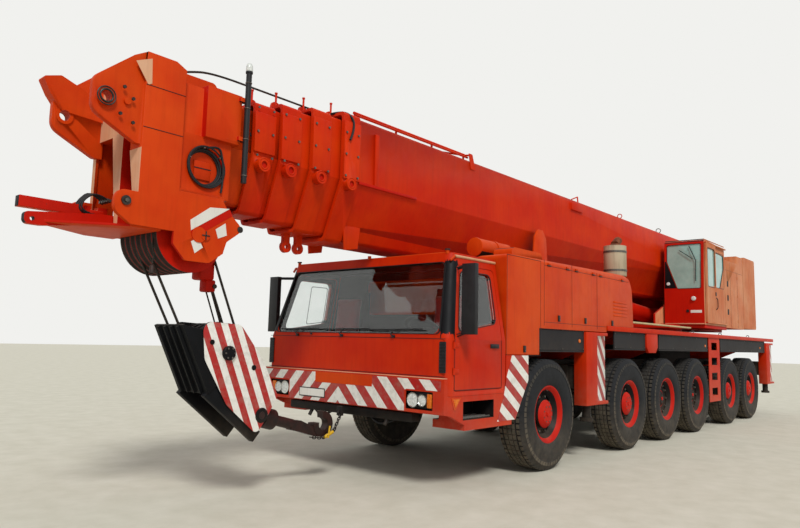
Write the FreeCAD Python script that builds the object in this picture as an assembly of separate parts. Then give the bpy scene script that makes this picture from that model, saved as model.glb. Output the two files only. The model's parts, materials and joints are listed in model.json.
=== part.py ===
import FreeCAD, Part
import math
import os

os.makedirs("parts", exist_ok=True)
V = FreeCAD.Vector

# Six-axle truck crane, stood as parked: boom down over the cab, outriggers in.
# Millimetres, +X to the front, +Y to the left, +Z up, second axle at x = 0 while drawing.

# Carrier lengths, measured from the second axle
boom_nose_x = 8300.0
bumper_front_x = 4760.0
rear_end_x = -9150.0
half_width = 1475.0

# Wheels: side is left +1 and right -1
tyre_radius = 690.0
tyre_width = 385.0
tyre_inset = 15.0
bead_radius = 332.0
rim_flange_radius = 362.0
rim_barrel_radius = 300.0
rim_half_width = 165.0
disc_thickness = 24.0
disc_offset = 20.0
spindle_radius = 75.0
bearing_gap = 0.5
soft_gap = 0.3
wheel_y = half_width - tyre_inset - tyre_width / 2.0

# Axles: x, whether it steers, how far its hub stands out of the wheel centre, hub radius
axles = [
    {"name": "axle_1", "x": 2530.0, "steered": True, "hub_out": 150.0, "hub_radius": 175.0},
    {"name": "axle_2", "x": 0.0, "steered": True, "hub_out": 150.0, "hub_radius": 175.0},
    {"name": "axle_3", "x": -1600.0, "steered": False, "hub_out": 75.0, "hub_radius": 140.0},
    {"name": "axle_4", "x": -3200.0, "steered": False, "hub_out": 75.0, "hub_radius": 140.0},
    {"name": "axle_5", "x": -5360.0, "steered": True, "hub_out": 150.0, "hub_radius": 175.0},
    {"name": "axle_6", "x": -6960.0, "steered": True, "hub_out": 150.0, "hub_radius": 175.0},
]
sides = [{"name": "left", "sign": 1.0}, {"name": "right", "sign": -1.0}]

# Axle beams and steering
kingpin_y = wheel_y - 282.5
kingpin_radius = 36.0
kingpin_gap = 0.5
knuckle_radius = 62.0
knuckle_half_height = 130.0
fork_gap = 5.0
fork_thickness = 50.0
axle_tube_radius = 95.0
diff_radius = 200.0
strut_y = kingpin_y - 365.0
strut_radius = 55.0

# Main frame
frame_half_width = strut_y - 170.0
frame_bottom = 930.0
frame_top = 1330.0
frame_front_x = 4500.0
frame_front_bottom = 700.0

# Outriggers: x of each pair
outrigger_x = [1210.0, -8720.0]
tube_wall = 12.0
beam_width = 310.0
beam_height = 310.0
beam_gap = 0.8
beam_z = 1115.0
beam_inner_y = half_width - 325.0
beam_outer_y = half_width - 190.0
box_end_y = half_width - 295.0
jack_y = half_width - 97.0
jack_radius = 62.0
jack_gap = 0.5
jack_foot_radius = 92.0
jack_foot_bottom = 520.0
leg_half_length = 345.0
leg_bottom = 740.0
leg_top = 1750.0

# Deck and skirts
deck_top = 1860.0
deck_edge = 75.0
deck_plate = 14.0
deck_front_x = 860.0
skirt_y = half_width - 35.0

# Slewing ring
slew_x = -4200.0
pedestal_top = 1800.0
ring_radius = 830.0
ring_height = 100.0
turntable_bottom = 1960.0

# Carrier cab
cab_rear_x = 3600.0
cab_front_x = 4700.0
cab_roof_front_x = 4450.0
cab_floor = 1000.0
cab_floor_thickness = 150.0
cab_belt = 1590.0
cab_roof = 2530.0
cab_roof_half = half_width - 155.0
cab_wall = 55.0
cab_corner = 110.0
glass_inset = 16.0
glass_thickness = 6.0
seam = 6.0

frame_front_top = cab_floor

# Superstructure
pivot_x = -5900.0
pivot_z = 3480.0
pivot_radius = 110.0
ear_inner_y = 510.0
ear_thickness = 45.0
luff_base_x = -4750.0
luff_base_z = 2250.0
counterweight_rear_x = -7850.0
upper_half = half_width - 85.0

# Boom sections, from the outside in: half width, top, knee, bottom, foot half width, ends
boom_plate = 16.0
boom_sections = [
    {"name": "boom_base", "half": 480.0, "top": 4020.0, "knee": 3270.0, "bottom": 2640.0,
     "foot": 230.0, "rear": -6250.0, "front": 5360.0},
    {"name": "boom_section_1", "half": 436.0, "top": 3962.0, "knee": 3292.0, "bottom": 2684.0,
     "foot": 206.0, "rear": -5300.0, "front": 5760.0},
    {"name": "boom_section_2", "half": 392.0, "top": 3904.0, "knee": 3314.0, "bottom": 2728.0,
     "foot": 182.0, "rear": -5050.0, "front": 6130.0},
    {"name": "boom_section_3", "half": 348.0, "top": 3846.0, "knee": 3336.0, "bottom": 2772.0,
     "foot": 158.0, "rear": -4800.0, "front": 6430.0},
    {"name": "boom_section_4", "half": 304.0, "top": 3788.0, "knee": 3358.0, "bottom": 2816.0,
     "foot": 134.0, "rear": -4550.0, "front": 7290.0},
]
collar_length = 250.0
collar_height_down = 150.0

# Boom head
head_half = 450.0
head_plate = 30.0
sheave_x = 7020.0
sheave_z = 2440.0
sheave_radius = 330.0
sheave_pin_radius = 70.0

# Luffing cylinder
luff_eye_x = -1380.0
luff_eye_z = 2490.0
luff_barrel_radius = 170.0
luff_eye_distance = math.hypot(luff_eye_x - luff_base_x, luff_eye_z - luff_base_z)
luff_barrel_length = luff_eye_distance - 478.5
luff_rod_radius = 120.0
luff_rod_length = luff_eye_distance - 358.5
luff_pin_radius = 60.0
pin_gap = 0.5

# Hook block
hook_x = 6520.0
hook_z = 1400.0
hook_sheave_radius = 280.0
trunnion_x = hook_x - 420.0
trunnion_z = hook_z - 600.0
trunnion_radius = 36.0

centre_x = (boom_nose_x + rear_end_x) / 2.0


def block(x0, x1, y0, y1, z0, z1):
    return Part.makeBox(x1 - x0, y1 - y0, z1 - z0, V(x0, y0, z0))


def face_of(points):
    return Part.Face(Part.makePolygon(points + [points[0]]))


def side_plate(outline, y0, y1):
    """Plate with an (x, z) outline, as thick as y0 to y1."""
    return face_of([V(x, y0, z) for x, z in outline]).extrude(V(0, y1 - y0, 0))


def cross_plate(outline, x0, x1):
    """Plate with a (y, z) outline, as thick as x0 to x1."""
    return face_of([V(x0, y, z) for y, z in outline]).extrude(V(x1 - x0, 0, 0))


def flat_plate(outline, z0, z1):
    """Plate with an (x, y) outline, as thick as z0 to z1."""
    return face_of([V(x, y, z0) for x, y in outline]).extrude(V(0, 0, z1 - z0))


def rounded_wire(corners):
    """Closed wire through corners of (point, radius), each radius a tangent arc."""
    edges = []
    starts = []
    ends = []
    mids = []
    count = len(corners)
    for i in range(count):
        point, radius = corners[i]
        back = (corners[i - 1][0] - point).normalize()
        on = (corners[(i + 1) % count][0] - point).normalize()
        if radius <= 0:
            starts.append(point)
            ends.append(point)
            mids.append(None)
            continue
        half = back.getAngle(on) / 2.0
        reach = radius / math.tan(half)
        starts.append(point + back * reach)
        ends.append(point + on * reach)
        middle = (back + on).normalize()
        mids.append(point + middle * (radius / math.sin(half) - radius))
    for i in range(count):
        if mids[i] is not None:
            edges.append(Part.Arc(starts[i], mids[i], ends[i]).toShape())
        following = starts[(i + 1) % count]
        if (following - ends[i]).Length > 1e-6:
            edges.append(Part.makeLine(ends[i], following))
    return Part.Wire(edges)


def rounded_side_plate(corners, y0, y1):
    """Side plate from corners of (x, z, radius)."""
    wire = rounded_wire([(V(x, y0, z), radius) for x, z, radius in corners])
    return Part.Face(wire).extrude(V(0, y1 - y0, 0))


def rounded_cross_plate(corners, x0, x1):
    """Cross plate from corners of (y, z, radius)."""
    wire = rounded_wire([(V(x0, y, z), radius) for y, z, radius in corners])
    return Part.Face(wire).extrude(V(x1 - x0, 0, 0))


def pin(x, z, y0, y1, radius):
    return Part.makeCylinder(radius, y1 - y0, V(x, y0, z), V(0, 1, 0))


def post(x, y, z0, z1, radius):
    return Part.makeCylinder(radius, z1 - z0, V(x, y, z0), V(0, 0, 1))


def bar(start, end, radius):
    return Part.makeCylinder(radius, (end - start).Length, start, end - start)


def turned(profile, x, z):
    """Solid of revolution about the cross axis through (x, z), from (y, radius) points."""
    return face_of([V(x + r, y, z) for y, r in profile]).revolve(V(x, 0, z), V(0, 1, 0), 360)


def mirrored(shape):
    return shape.mirror(V(0, 0, 0), V(0, 1, 0))


def on_side(shape, sign):
    return shape if sign > 0 else mirrored(shape)


def joined(shapes):
    whole = shapes[0].multiFuse(shapes[1:])
    return whole.removeSplitter()


def both_sides(shape):
    return [shape, mirrored(shape)]


def save(name, solids):
    shape = solids[0] if len(solids) == 1 else Part.makeCompound(solids)
    shape = shape.copy()
    shape.translate(V(-centre_x, 0, 0))
    shape.exportStep("parts/" + name + ".step")


# Wheels: a tyre and its rim with the planetary hub
def wheel(axle):
    half = tyre_width / 2.0
    tread_half = half - 28.0
    bead_half = rim_half_width - 20.0
    tyre = turned([
        (-bead_half, bead_radius),
        (-bead_half - soft_gap, rim_flange_radius + soft_gap),
        (-half, 470.0),
        (-tread_half, tyre_radius),
        (tread_half, tyre_radius),
        (half, 470.0),
        (bead_half + soft_gap, rim_flange_radius + soft_gap),
        (bead_half, bead_radius),
    ], axle["x"], tyre_radius)
    seat = bead_radius - soft_gap
    inner = bead_half + 2.0 * soft_gap
    hub_back = -55.0
    bore_end = disc_offset + disc_thickness
    rim = turned([
        (-rim_half_width, rim_barrel_radius),
        (-rim_half_width, rim_flange_radius),
        (-inner, rim_flange_radius),
        (-inner, seat),
        (inner, seat),
        (inner, rim_flange_radius),
        (rim_half_width, rim_flange_radius),
        (rim_half_width, rim_barrel_radius),
        (disc_offset + disc_thickness, rim_barrel_radius),
        (disc_offset + disc_thickness, axle["hub_radius"]),
        (axle["hub_out"] - 30.0, axle["hub_radius"] - 12.0),
        (axle["hub_out"], axle["hub_radius"] - 55.0),
        (axle["hub_out"], 0.0),
        (bore_end, 0.0),
        (bore_end, spindle_radius + bearing_gap),
        (hub_back, spindle_radius + bearing_gap),
        (hub_back, axle["hub_radius"] - 25.0),
        (disc_offset, axle["hub_radius"] - 25.0),
        (disc_offset, rim_barrel_radius),
    ], axle["x"], tyre_radius)
    return [tyre, rim]


for axle in axles:
    for side in sides:
        pieces = wheel(axle)
        for piece in pieces:
            piece.translate(V(0, wheel_y, 0))
        save("wheel_" + axle["name"][-1] + "_" + side["name"],
             [on_side(piece, side["sign"]) for piece in pieces])


# Steering knuckles: kingpin, post and wheel spindle
def knuckle(axle):
    x = axle["x"]
    z = tyre_radius
    body = post(x, kingpin_y, z - knuckle_half_height, z + knuckle_half_height, knuckle_radius)
    reach = knuckle_half_height + fork_gap + fork_thickness
    king = post(x, kingpin_y, z - reach, z + reach, kingpin_radius)
    spindle_end = wheel_y + disc_offset + disc_thickness - bearing_gap
    spindle = pin(x, z, kingpin_y, spindle_end, spindle_radius)
    plate = pin(x, z, kingpin_y + 76.0, kingpin_y + 92.0, 215.0)
    arm = block(x - 260.0, x, kingpin_y - 40.0, kingpin_y + 10.0, z - 110.0, z - 70.0)
    return joined([body, king, spindle, plate, arm])


for axle in axles:
    if axle["steered"]:
        for side in sides:
            save("knuckle_" + axle["name"][-1] + "_" + side["name"],
                 [on_side(knuckle(axle), side["sign"])])


# Axle beams: tube with differential, suspension struts, and forks or fixed spindles
def axle_beam(axle):
    x = axle["x"]
    z = tyre_radius
    end_y = kingpin_y - knuckle_radius - 45.0
    pieces = [turned([
        (-end_y, 0.0), (-end_y, axle_tube_radius), (-280.0, axle_tube_radius),
        (-150.0, diff_radius), (150.0, diff_radius), (280.0, axle_tube_radius),
        (end_y, axle_tube_radius), (end_y, 0.0),
    ], x, z)]
    for sign in (1.0, -1.0):
        strut = post(x, strut_y, z + axle_tube_radius - 15.0, frame_bottom + 250.0, strut_radius)
        pieces.append(on_side(strut, sign))
        if axle["steered"]:
            low = knuckle_half_height + fork_gap
            high = low + fork_thickness
            web = block(x - 70.0, x + 70.0, end_y - 45.0, end_y, z - high, z + high)
            pieces.append(on_side(web, sign))
            for z0, z1 in ((z + low, z + high), (z - high, z - low)):
                arm = block(x - 70.0, x + 70.0, end_y - 45.0, kingpin_y, z0, z1)
                eye = post(x, kingpin_y, z0, z1, 70.0)
                bore = post(x, kingpin_y, z0 - 1.0, z1 + 1.0, kingpin_radius + kingpin_gap)
                pieces.append(on_side(arm.fuse(eye).cut(bore), sign))
        else:
            spindle_end = wheel_y + disc_offset + disc_thickness - bearing_gap
            spindle = pin(x, z, end_y - 5.0, spindle_end, spindle_radius)
            plate = pin(x, z, kingpin_y + 76.0, kingpin_y + 92.0, 215.0)
            tube = pin(x, z, end_y - 5.0, kingpin_y + 78.0, axle_tube_radius)
            pieces.append(on_side(spindle.fuse(plate).fuse(tube), sign))
    return joined(pieces)


save("axle_beams", [axle_beam(axle) for axle in axles])


# Main frame with its outrigger cross boxes, strut brackets and slewing pedestal
web_half = half_width - 75.0
frame_parts = [side_plate([
    (frame_front_x, frame_front_bottom),
    (frame_front_x, frame_front_top),
    (cab_rear_x - 80.0, frame_front_top),
    (cab_rear_x - 330.0, frame_top),
    (rear_end_x + 60.0, frame_top),
    (rear_end_x + 60.0, frame_bottom + 60.0),
    (outrigger_x[1] + leg_half_length, frame_bottom),
    (3300.0, frame_bottom),
    (3500.0, frame_front_bottom),
], -frame_half_width, frame_half_width)]
cavity_half_height = beam_height / 2.0 + beam_gap
cavity_width = beam_width + 2.0 * beam_gap
for x in outrigger_x:
    frame_parts.append(block(
        x - cavity_width - 1.5 * tube_wall, x + cavity_width + 1.5 * tube_wall,
        -box_end_y, box_end_y,
        beam_z - cavity_half_height - tube_wall, beam_z + cavity_half_height + tube_wall))
for axle in axles:
    for sign in (1.0, -1.0):
        bracket = block(axle["x"] - 90.0, axle["x"] + 90.0, frame_half_width - 5.0,
                        strut_y + 75.0, frame_bottom + 250.0, frame_bottom + 350.0)
        frame_parts.append(on_side(bracket, sign))
frame_parts.append(block(slew_x - 900.0, slew_x + 900.0, -700.0, 700.0, frame_top, 1700.0))
frame_parts.append(post(slew_x, 0.0, 1700.0, pedestal_top, ring_radius - 40.0))
frame_parts.append(block(frame_front_x - 5.0, bumper_front_x - 120.0, -420.0, 420.0, 720.0, 960.0))
frame_parts.append(block(rear_end_x, rear_end_x + 70.0, -web_half, web_half, 930.0, 1250.0))
chassis = joined(frame_parts)
for sign in (1.0, -1.0):
    lamp_seat = block(rear_end_x - 1.0, rear_end_x + 26.0, web_half - 352.0, web_half - 48.0,
                      1018.0, 1122.0)
    chassis = chassis.cut(on_side(lamp_seat, sign))
beam_rows = []
for index, x in enumerate(outrigger_x):
    for side in sides:
        centre = x + side["sign"] * (cavity_width / 2.0 + tube_wall / 2.0)
        beam_rows.append({"end": ("front", "rear")[index], "side": side, "x": centre, "pair_x": x})
        chassis = chassis.cut(block(
            centre - cavity_width / 2.0, centre + cavity_width / 2.0,
            -box_end_y - 10.0, box_end_y + 10.0,
            beam_z - cavity_half_height, beam_z + cavity_half_height))
save("chassis_frame", [chassis])

# Outrigger beams with their jack legs, and the jacks
for row in beam_rows:
    x = row["x"]
    sign = row["side"]["sign"]
    beam = block(x - beam_width / 2.0, x + beam_width / 2.0, -beam_inner_y, beam_outer_y + 5.0,
                 beam_z - beam_height / 2.0, beam_z + beam_height / 2.0)
    leg = block(row["pair_x"] - leg_half_length, row["pair_x"] + leg_half_length,
                beam_outer_y, half_width, leg_bottom, leg_top)
    bore = post(x, jack_y, leg_bottom - 10.0, leg_top - 60.0, jack_radius + jack_gap)
    away = x + (row["pair_x"] - x) * 2.0
    recess = block(min(row["pair_x"], away) - leg_half_length * (away < x) * 0.55,
                   max(row["pair_x"], away) + leg_half_length * (away > x) * 0.55,
                   half_width - 45.0, half_width + 10.0, leg_bottom + 45.0, leg_top - 45.0)
    save("outrigger_beam_" + row["end"] + "_" + row["side"]["name"],
         [on_side(joined([beam, leg]).cut(bore).cut(recess), sign)])
    rod = post(x, jack_y, jack_foot_bottom + 45.0, leg_top - 80.0, jack_radius)
    foot = post(x, jack_y, jack_foot_bottom, jack_foot_bottom + 50.0, jack_foot_radius)
    save("outrigger_jack_" + row["end"] + "_" + row["side"]["name"],
         [on_side(joined([rod, foot]), sign)])

# Deck with its edge strips, cross webs down to the frame, and two ladders
rear_deck_x = rear_end_x + 20.0
deck_parts = [block(rear_deck_x, deck_front_x, -half_width, half_width,
                    deck_top - deck_plate, deck_top)]
for sign in (1.0, -1.0):
    deck_parts.append(on_side(block(rear_deck_x, deck_front_x, half_width - 60.0, half_width,
                                    deck_top - deck_edge, deck_top), sign))
web_rows = [-800.0, -2400.0, -5500.0, -6900.0, -8100.0, 300.0]
for x in web_rows:
    deck_parts.append(cross_plate([
        (-frame_half_width, frame_top), (frame_half_width, frame_top),
        (web_half, deck_top - 120.0), (web_half, deck_top - deck_plate),
        (-web_half, deck_top - deck_plate), (-web_half, deck_top - 120.0),
    ], x - 15.0, x + 15.0))
deck = joined(deck_parts).cut(post(slew_x, 0.0, deck_top - 200.0, deck_top + 10.0,
                                   ring_radius + 60.0))
bracket_x0 = -1130.0
bracket_x1 = -650.0
bracket = side_plate([
    (bracket_x0, deck_top - deck_edge), (bracket_x0, 1560.0), (bracket_x0 + 90.0, 1470.0),
    (bracket_x1 - 90.0, 1470.0), (bracket_x1, 1560.0), (bracket_x1, deck_top - deck_edge),
], half_width - 60.0, half_width - 12.0)
ladder_x0 = -4620.0
ladder_x1 = -3910.0
ladder_bottom = 520.0
ladder = block(ladder_x0, ladder_x1, half_width - 40.0, half_width - 29.0, ladder_bottom,
               deck_top - deck_edge + 5.0)
for index in range(4):
    z = ladder_bottom + 120.0 + index * 300.0
    ladder = ladder.cut(block(ladder_x0 + 170.0, ladder_x1 - 170.0, half_width - 50.0,
                              half_width - 20.0, z, z + 150.0))
    shelf = block(ladder_x0 + 160.0, ladder_x1 - 160.0, half_width - 190.0, half_width - 35.0,
                  z - 14.0, z)
    ladder = ladder.fuse(shelf)
ladder = ladder.removeSplitter()
save("deck", [deck] + both_sides(ladder) + both_sides(bracket))

# Skirts: dark panels under the deck edge and the mudguard behind the front wheels
skirt_rows = [
    {"x0": 1560.0, "x1": 2800.0, "z0": 1480.0, "z1": 1760.0},
    {"x0": -640.0, "x1": 560.0, "z0": 1520.0, "z1": 1785.0},
    {"x0": -3850.0, "x1": -1240.0, "z0": 1520.0, "z1": 1785.0},
    {"x0": -8360.0, "x1": -4700.0, "z0": 1520.0, "z1": 1785.0},
]
skirts = []
for row in skirt_rows:
    panel = block(row["x0"], row["x1"], skirt_y - 20.0, skirt_y, row["z0"], row["z1"])
    lip = block(row["x0"], row["x1"], skirt_y - 350.0, skirt_y, row["z0"] - 12.0, row["z0"])
    wall = block(row["x0"], row["x1"], skirt_y - 362.0, skirt_y - 350.0, row["z0"] - 12.0, row["z0"] + 75.0)
    skirts += both_sides(joined([panel, lip, wall]))
save("side_skirts", skirts)

# Engine housing behind the cab, open below, with a trough under the boom
housing_front_x = cab_rear_x - 20.0
housing_rear_x = -120.0
housing_bottom = 1760.0
housing_top = 2670.0
housing_wall = 40.0
housing_half = half_width - 15.0
trough_half = 640.0
trough_bottom = 2500.0


def housing_body(inset):
    side = rounded_side_plate([
        (housing_front_x - inset, housing_bottom - 2.0 * inset, 0.0),
        (housing_front_x - inset, housing_top - 60.0 - inset, 60.0 - inset),
        (housing_rear_x + 60.0 + inset, housing_top - inset, 320.0 - inset),
        (housing_rear_x + inset, deck_top - 2.0 * inset, 0.0),
        (deck_front_x + 5.0, deck_top - 2.0 * inset, 0.0),
        (deck_front_x + 5.0, housing_bottom - 2.0 * inset, 0.0),
    ], -housing_half - 10.0, housing_half + 10.0)
    cross = rounded_cross_plate([
        (housing_half - inset, housing_bottom - 2.0 * inset, 0.0),
        (housing_half - inset, housing_top - inset, 90.0 - inset),
        (trough_half + inset, housing_top - inset, 0.0),
        (trough_half - 60.0, trough_bottom - inset, 0.0),
        (-trough_half + 60.0, trough_bottom - inset, 0.0),
        (-trough_half - inset, housing_top - inset, 0.0),
        (-housing_half + inset, housing_top - inset, 90.0 - inset),
        (-housing_half + inset, housing_bottom - 2.0 * inset, 0.0),
    ], housing_rear_x - 10.0, housing_front_x + 10.0)
    return side.common(cross)


housing = housing_body(0.0).cut(housing_body(housing_wall))
housing_parts = [housing]
for sign in (1.0, -1.0):
    housing_parts.append(on_side(block(2820.0, housing_front_x, housing_half - housing_wall,
                                       housing_half, 1430.0, housing_bottom + 5.0), sign))
    housing_parts.append(on_side(block(2600.0, 2660.0, 430.0, 470.0, frame_top, 2310.0), sign))
housing_parts.append(block(2600.0, 2660.0, -housing_half + 20.0, housing_half - 20.0,
                           2300.0, trough_bottom - 20.0))
silencer_x = -20.0
silencer_y = 1215.0
silencer_radius = 175.0
silencer_foot = housing_top + 2.0
housing_parts.append(post(silencer_x, silencer_y, silencer_foot - 230.0, silencer_foot, 120.0))
# Boom guide plates, boom rest, air cleaner and intake duct
rest_x = 1250.0
for sign in (1.0, -1.0):
    guide = side_plate([
        (rest_x - 250.0, trough_bottom - 15.0), (rest_x + 240.0, trough_bottom - 15.0),
        (rest_x + 170.0, 3180.0), (rest_x + 70.0, 3300.0), (rest_x - 70.0, 3300.0),
        (rest_x - 170.0, 3180.0),
    ], 560.0, 592.0)
    guide_pad = block(rest_x - 100.0, rest_x + 100.0, 535.0, 562.0, 2900.0, 3240.0)
    housing_parts += [on_side(guide, sign), on_side(guide_pad, sign)]
housing_parts.append(block(rest_x - 150.0, rest_x + 150.0, -240.0, 240.0, trough_bottom - 15.0,
                           2634.0))
cleaner_y = 1000.0
housing_parts.append(bar(V(2900.0, cleaner_y, 2720.0), V(3575.0, cleaner_y, 2720.0), 112.0))
housing_parts.append(rounded_side_plate([
    (2730.0, 2560.0, 0.0), (3450.0, 2560.0, 0.0), (3450.0, 2705.0, 70.0), (2730.0, 2705.0, 70.0),
], housing_half - 270.0, housing_half - 12.0))
housing = joined(housing_parts)
save("engine_housing", [housing])

# Engine block inside the housing, and the exhaust silencer on top
engine = block(1700.0, 3150.0, -420.0, 420.0, frame_top, 2280.0)
silencer = post(silencer_x, silencer_y, silencer_foot, 3150.0, silencer_radius)
tail = post(silencer_x, silencer_y, 3145.0, 3200.0, 65.0)
tail_end = bar(V(silencer_x, silencer_y, 3190.0), V(silencer_x - 130.0, silencer_y, 3270.0), 65.0)
save("engine_exhaust", [engine, joined([silencer, tail, tail_end])])


# Carrier cab
def cab_section(inset, z, front_x, half):
    corner = cab_corner - inset
    return rounded_wire([
        (V(front_x - inset, half - inset, z), corner),
        (V(cab_rear_x + inset, half - inset, z), corner / 3.0),
        (V(cab_rear_x + inset, -half + inset, z), corner / 3.0),
        (V(front_x - inset, -half + inset, z), corner),
    ])


def cab_body(inset, floor_z):
    low = cab_section(inset, floor_z, cab_front_x, half_width)
    belt = cab_section(inset, cab_belt, cab_front_x, half_width)
    roof = cab_section(inset, cab_roof - inset, cab_roof_front_x, cab_roof_half)
    lower = Part.makeLoft([low, belt], True, True)
    upper = Part.makeLoft([belt, roof], True, True)
    return lower.fuse(upper)


def door_outline(gap):
    return [
        (3690.0 + gap, 1050.0 + gap, 40.0), (4600.0 - gap, 1050.0 + gap, 40.0),
        (4600.0 - gap, 1590.0, 0.0), (4400.0 - gap, 2400.0 - gap, 60.0),
        (3690.0 + gap, 2400.0 - gap, 60.0),
    ]


def door_window(gap):
    return [
        (3780.0 + gap, 1780.0 + gap, 50.0), (4510.0 - gap, 1670.0 + gap, 50.0),
        (4350.0 - gap, 2330.0 - gap, 50.0), (3780.0 + gap, 2330.0 - gap, 50.0),
    ]


screen_low = half_width - 135.0
screen_high = half_width - 235.0


def windscreen_outline(gap):
    return [
        (-screen_low + gap, 1640.0 + gap, 80.0), (screen_low - gap, 1640.0 + gap, 80.0),
        (screen_high - gap, 2420.0 - gap, 80.0), (-screen_high + gap, 2420.0 - gap, 80.0),
    ]


outer = cab_body(0.0, cab_floor)
inner = cab_body(cab_wall, cab_floor + cab_floor_thickness)
shell = outer.cut(inner)
wall_reach = half_width - 375.0
under_floor = cab_floor - 50.0
door_walls = outer.cut(cab_body(cab_wall, under_floor))
door_cut = rounded_side_plate(door_outline(0.0), wall_reach, half_width + 20.0)
door_cut = door_cut.cut(cab_body(cab_wall + 4.0, under_floor))
door_hinge_x = 4603.0
door_hinge_radius = 14.0
door_hinge_rows = [{"z0": 1220.0, "z1": 1290.0}, {"z0": 1490.0, "z1": 1560.0}]
for row in door_hinge_rows:
    door_cut = door_cut.fuse(post(door_hinge_x, half_width, row["z0"] - pin_gap,
                                  row["z1"] + pin_gap, door_hinge_radius + 5.0))
cab_shell = shell.cut(door_cut).cut(mirrored(door_cut))
windscreen_cut = rounded_cross_plate(windscreen_outline(0.0), 4200.0, cab_front_x + 20.0)
rear_window_cut = rounded_cross_plate([
    (-700.0, 1900.0, 60.0), (700.0, 1900.0, 60.0), (700.0, 2350.0, 60.0), (-700.0, 2350.0, 60.0),
], cab_rear_x - 20.0, cab_rear_x + cab_wall + 20.0)
cab_shell = cab_shell.cut(windscreen_cut).cut(rear_window_cut)
save("carrier_cab", [cab_shell])

pane_layer = cab_body(glass_inset, cab_floor + cab_floor_thickness)
pane_layer = pane_layer.cut(cab_body(glass_inset + glass_thickness,
                                     cab_floor + cab_floor_thickness + glass_thickness))
windscreen = pane_layer.common(rounded_cross_plate(windscreen_outline(soft_gap), 4200.0,
                                                   cab_front_x + 20.0))
rear_pane = block(cab_rear_x + 20.0, cab_rear_x + 26.0, -700.0 + soft_gap, 700.0 - soft_gap,
                  1900.0 + 30.0, 2350.0 - 30.0)
rear_pane = rear_pane.common(rear_window_cut)
save("carrier_cab_glass", [windscreen, rear_pane])

# Doors on their hinge barrels, each with its mirror; the rear edge is thinned to swing clear
rear_rebate = cab_body(20.0, under_floor).common(
    block(3680.0, 3712.0, wall_reach, half_width, cab_floor, 2450.0))
mirror_y = half_width + 125.0
mirror_box = block(4500.0, 4560.0, mirror_y - 70.0, mirror_y + 100.0, 1640.0, 2380.0)
mirror_arm_top = bar(V(4372.0, half_width - 140.0, 2360.0), V(4530.0, mirror_y, 2360.0), 18.0)
mirror_arm_low = bar(V(4540.0, half_width - 35.0, 1620.0), V(4530.0, mirror_y, 1670.0), 18.0)
for side in sides:
    leaf = door_walls.common(rounded_side_plate(door_outline(seam), wall_reach,
                                                half_width + 20.0))
    leaf = leaf.cut(rounded_side_plate(door_window(0.0), wall_reach, half_width + 20.0))
    barrels = [post(door_hinge_x, half_width, row["z0"], row["z1"], door_hinge_radius)
               for row in door_hinge_rows]
    leaf = joined([leaf.cut(rear_rebate), mirror_box, mirror_arm_top, mirror_arm_low] + barrels)
    pane = pane_layer.common(rounded_side_plate(door_window(soft_gap), wall_reach,
                                                half_width + 20.0))
    save("carrier_door_" + side["name"],
         [on_side(leaf, side["sign"]), on_side(pane, side["sign"])])

# Carrier cab seats, dashboard and steering wheel
floor_top = cab_floor + cab_floor_thickness
seat_y = half_width - 625.0
seats = []
for y in (seat_y, -seat_y):
    base = block(3720.0, 4180.0, y - 250.0, y + 250.0, floor_top, floor_top + 430.0)
    back = side_plate([(3720.0, floor_top + 400.0), (3860.0, floor_top + 400.0),
                       (3800.0, floor_top + 1050.0), (3700.0, floor_top + 1050.0)],
                      y - 240.0, y + 240.0)
    seats.append(joined([base, back]))
dash = side_plate([(4400.0, floor_top), (4630.0, floor_top), (4630.0, 1610.0), (4450.0, 1640.0),
                   (4400.0, 1560.0)], -half_width + 125.0, half_width - 125.0)
column = bar(V(4420.0, seat_y, 1560.0), V(4330.0, seat_y, 1700.0), 30.0)
rim = Part.makeTorus(220.0, 16.0, V(4330.0, seat_y, 1700.0), V(-90.0, 0.0, 140.0))
spoke = bar(V(4330.0, seat_y - 220.0, 1700.0), V(4330.0, seat_y + 220.0, 1700.0), 12.0)
save("carrier_cab_interior", seats + [joined([dash, column, rim, spoke])])

# Front bumper with its lamp pockets, side steps and wheel-arch panels
bumper = side_plate([
    (bumper_front_x - 120.0, 800.0), (bumper_front_x, 820.0), (bumper_front_x, 1180.0),
    (cab_front_x + 2.0, 1180.0), (cab_front_x + 2.0, 998.0), (bumper_front_x - 120.0, 998.0),
], -half_width, half_width)
lamp_back_x = bumper_front_x - 48.0
lamp_inner_y = half_width - 515.0
lamp_outer_y = half_width - 145.0
side_parts = []
for sign in (1.0, -1.0):
    lamp_pocket = block(lamp_back_x, bumper_front_x + 1.0, lamp_inner_y, lamp_outer_y, 850.0, 1040.0)
    bumper = bumper.cut(on_side(lamp_pocket, sign))
    corner = side_plate([
        (3790.0, 998.0), (bumper_front_x - 115.0, 998.0), (bumper_front_x - 115.0, 802.0),
        (4420.0, 705.0), (3790.0, 690.0),
    ], half_width - 45.0, half_width)
    step_box = block(3825.0, 4455.0, half_width - 300.0, half_width - 40.0, 722.0, 965.0)
    step_room = block(3850.0, 4430.0, half_width - 280.0, half_width + 10.0, 747.0, 940.0)
    arch_panel = side_plate([(3110.0, 1425.0), (3110.0, 1130.0), (3400.0, 690.0), (3800.0, 690.0),
                             (3800.0, 998.0), (3597.0, 998.0), (3597.0, 1425.0)],
                            half_width - 45.0, half_width)
    tread = block(3480.0, 4400.0, half_width - 425.0, half_width, 640.0, 725.0)
    sill = joined([corner, step_box]).cut(step_room)
    side_parts += [on_side(sill, sign), on_side(arch_panel, sign), on_side(tread, sign)]
bumper = joined([bumper] + side_parts)
save("front_bumper", [bumper])

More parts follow.
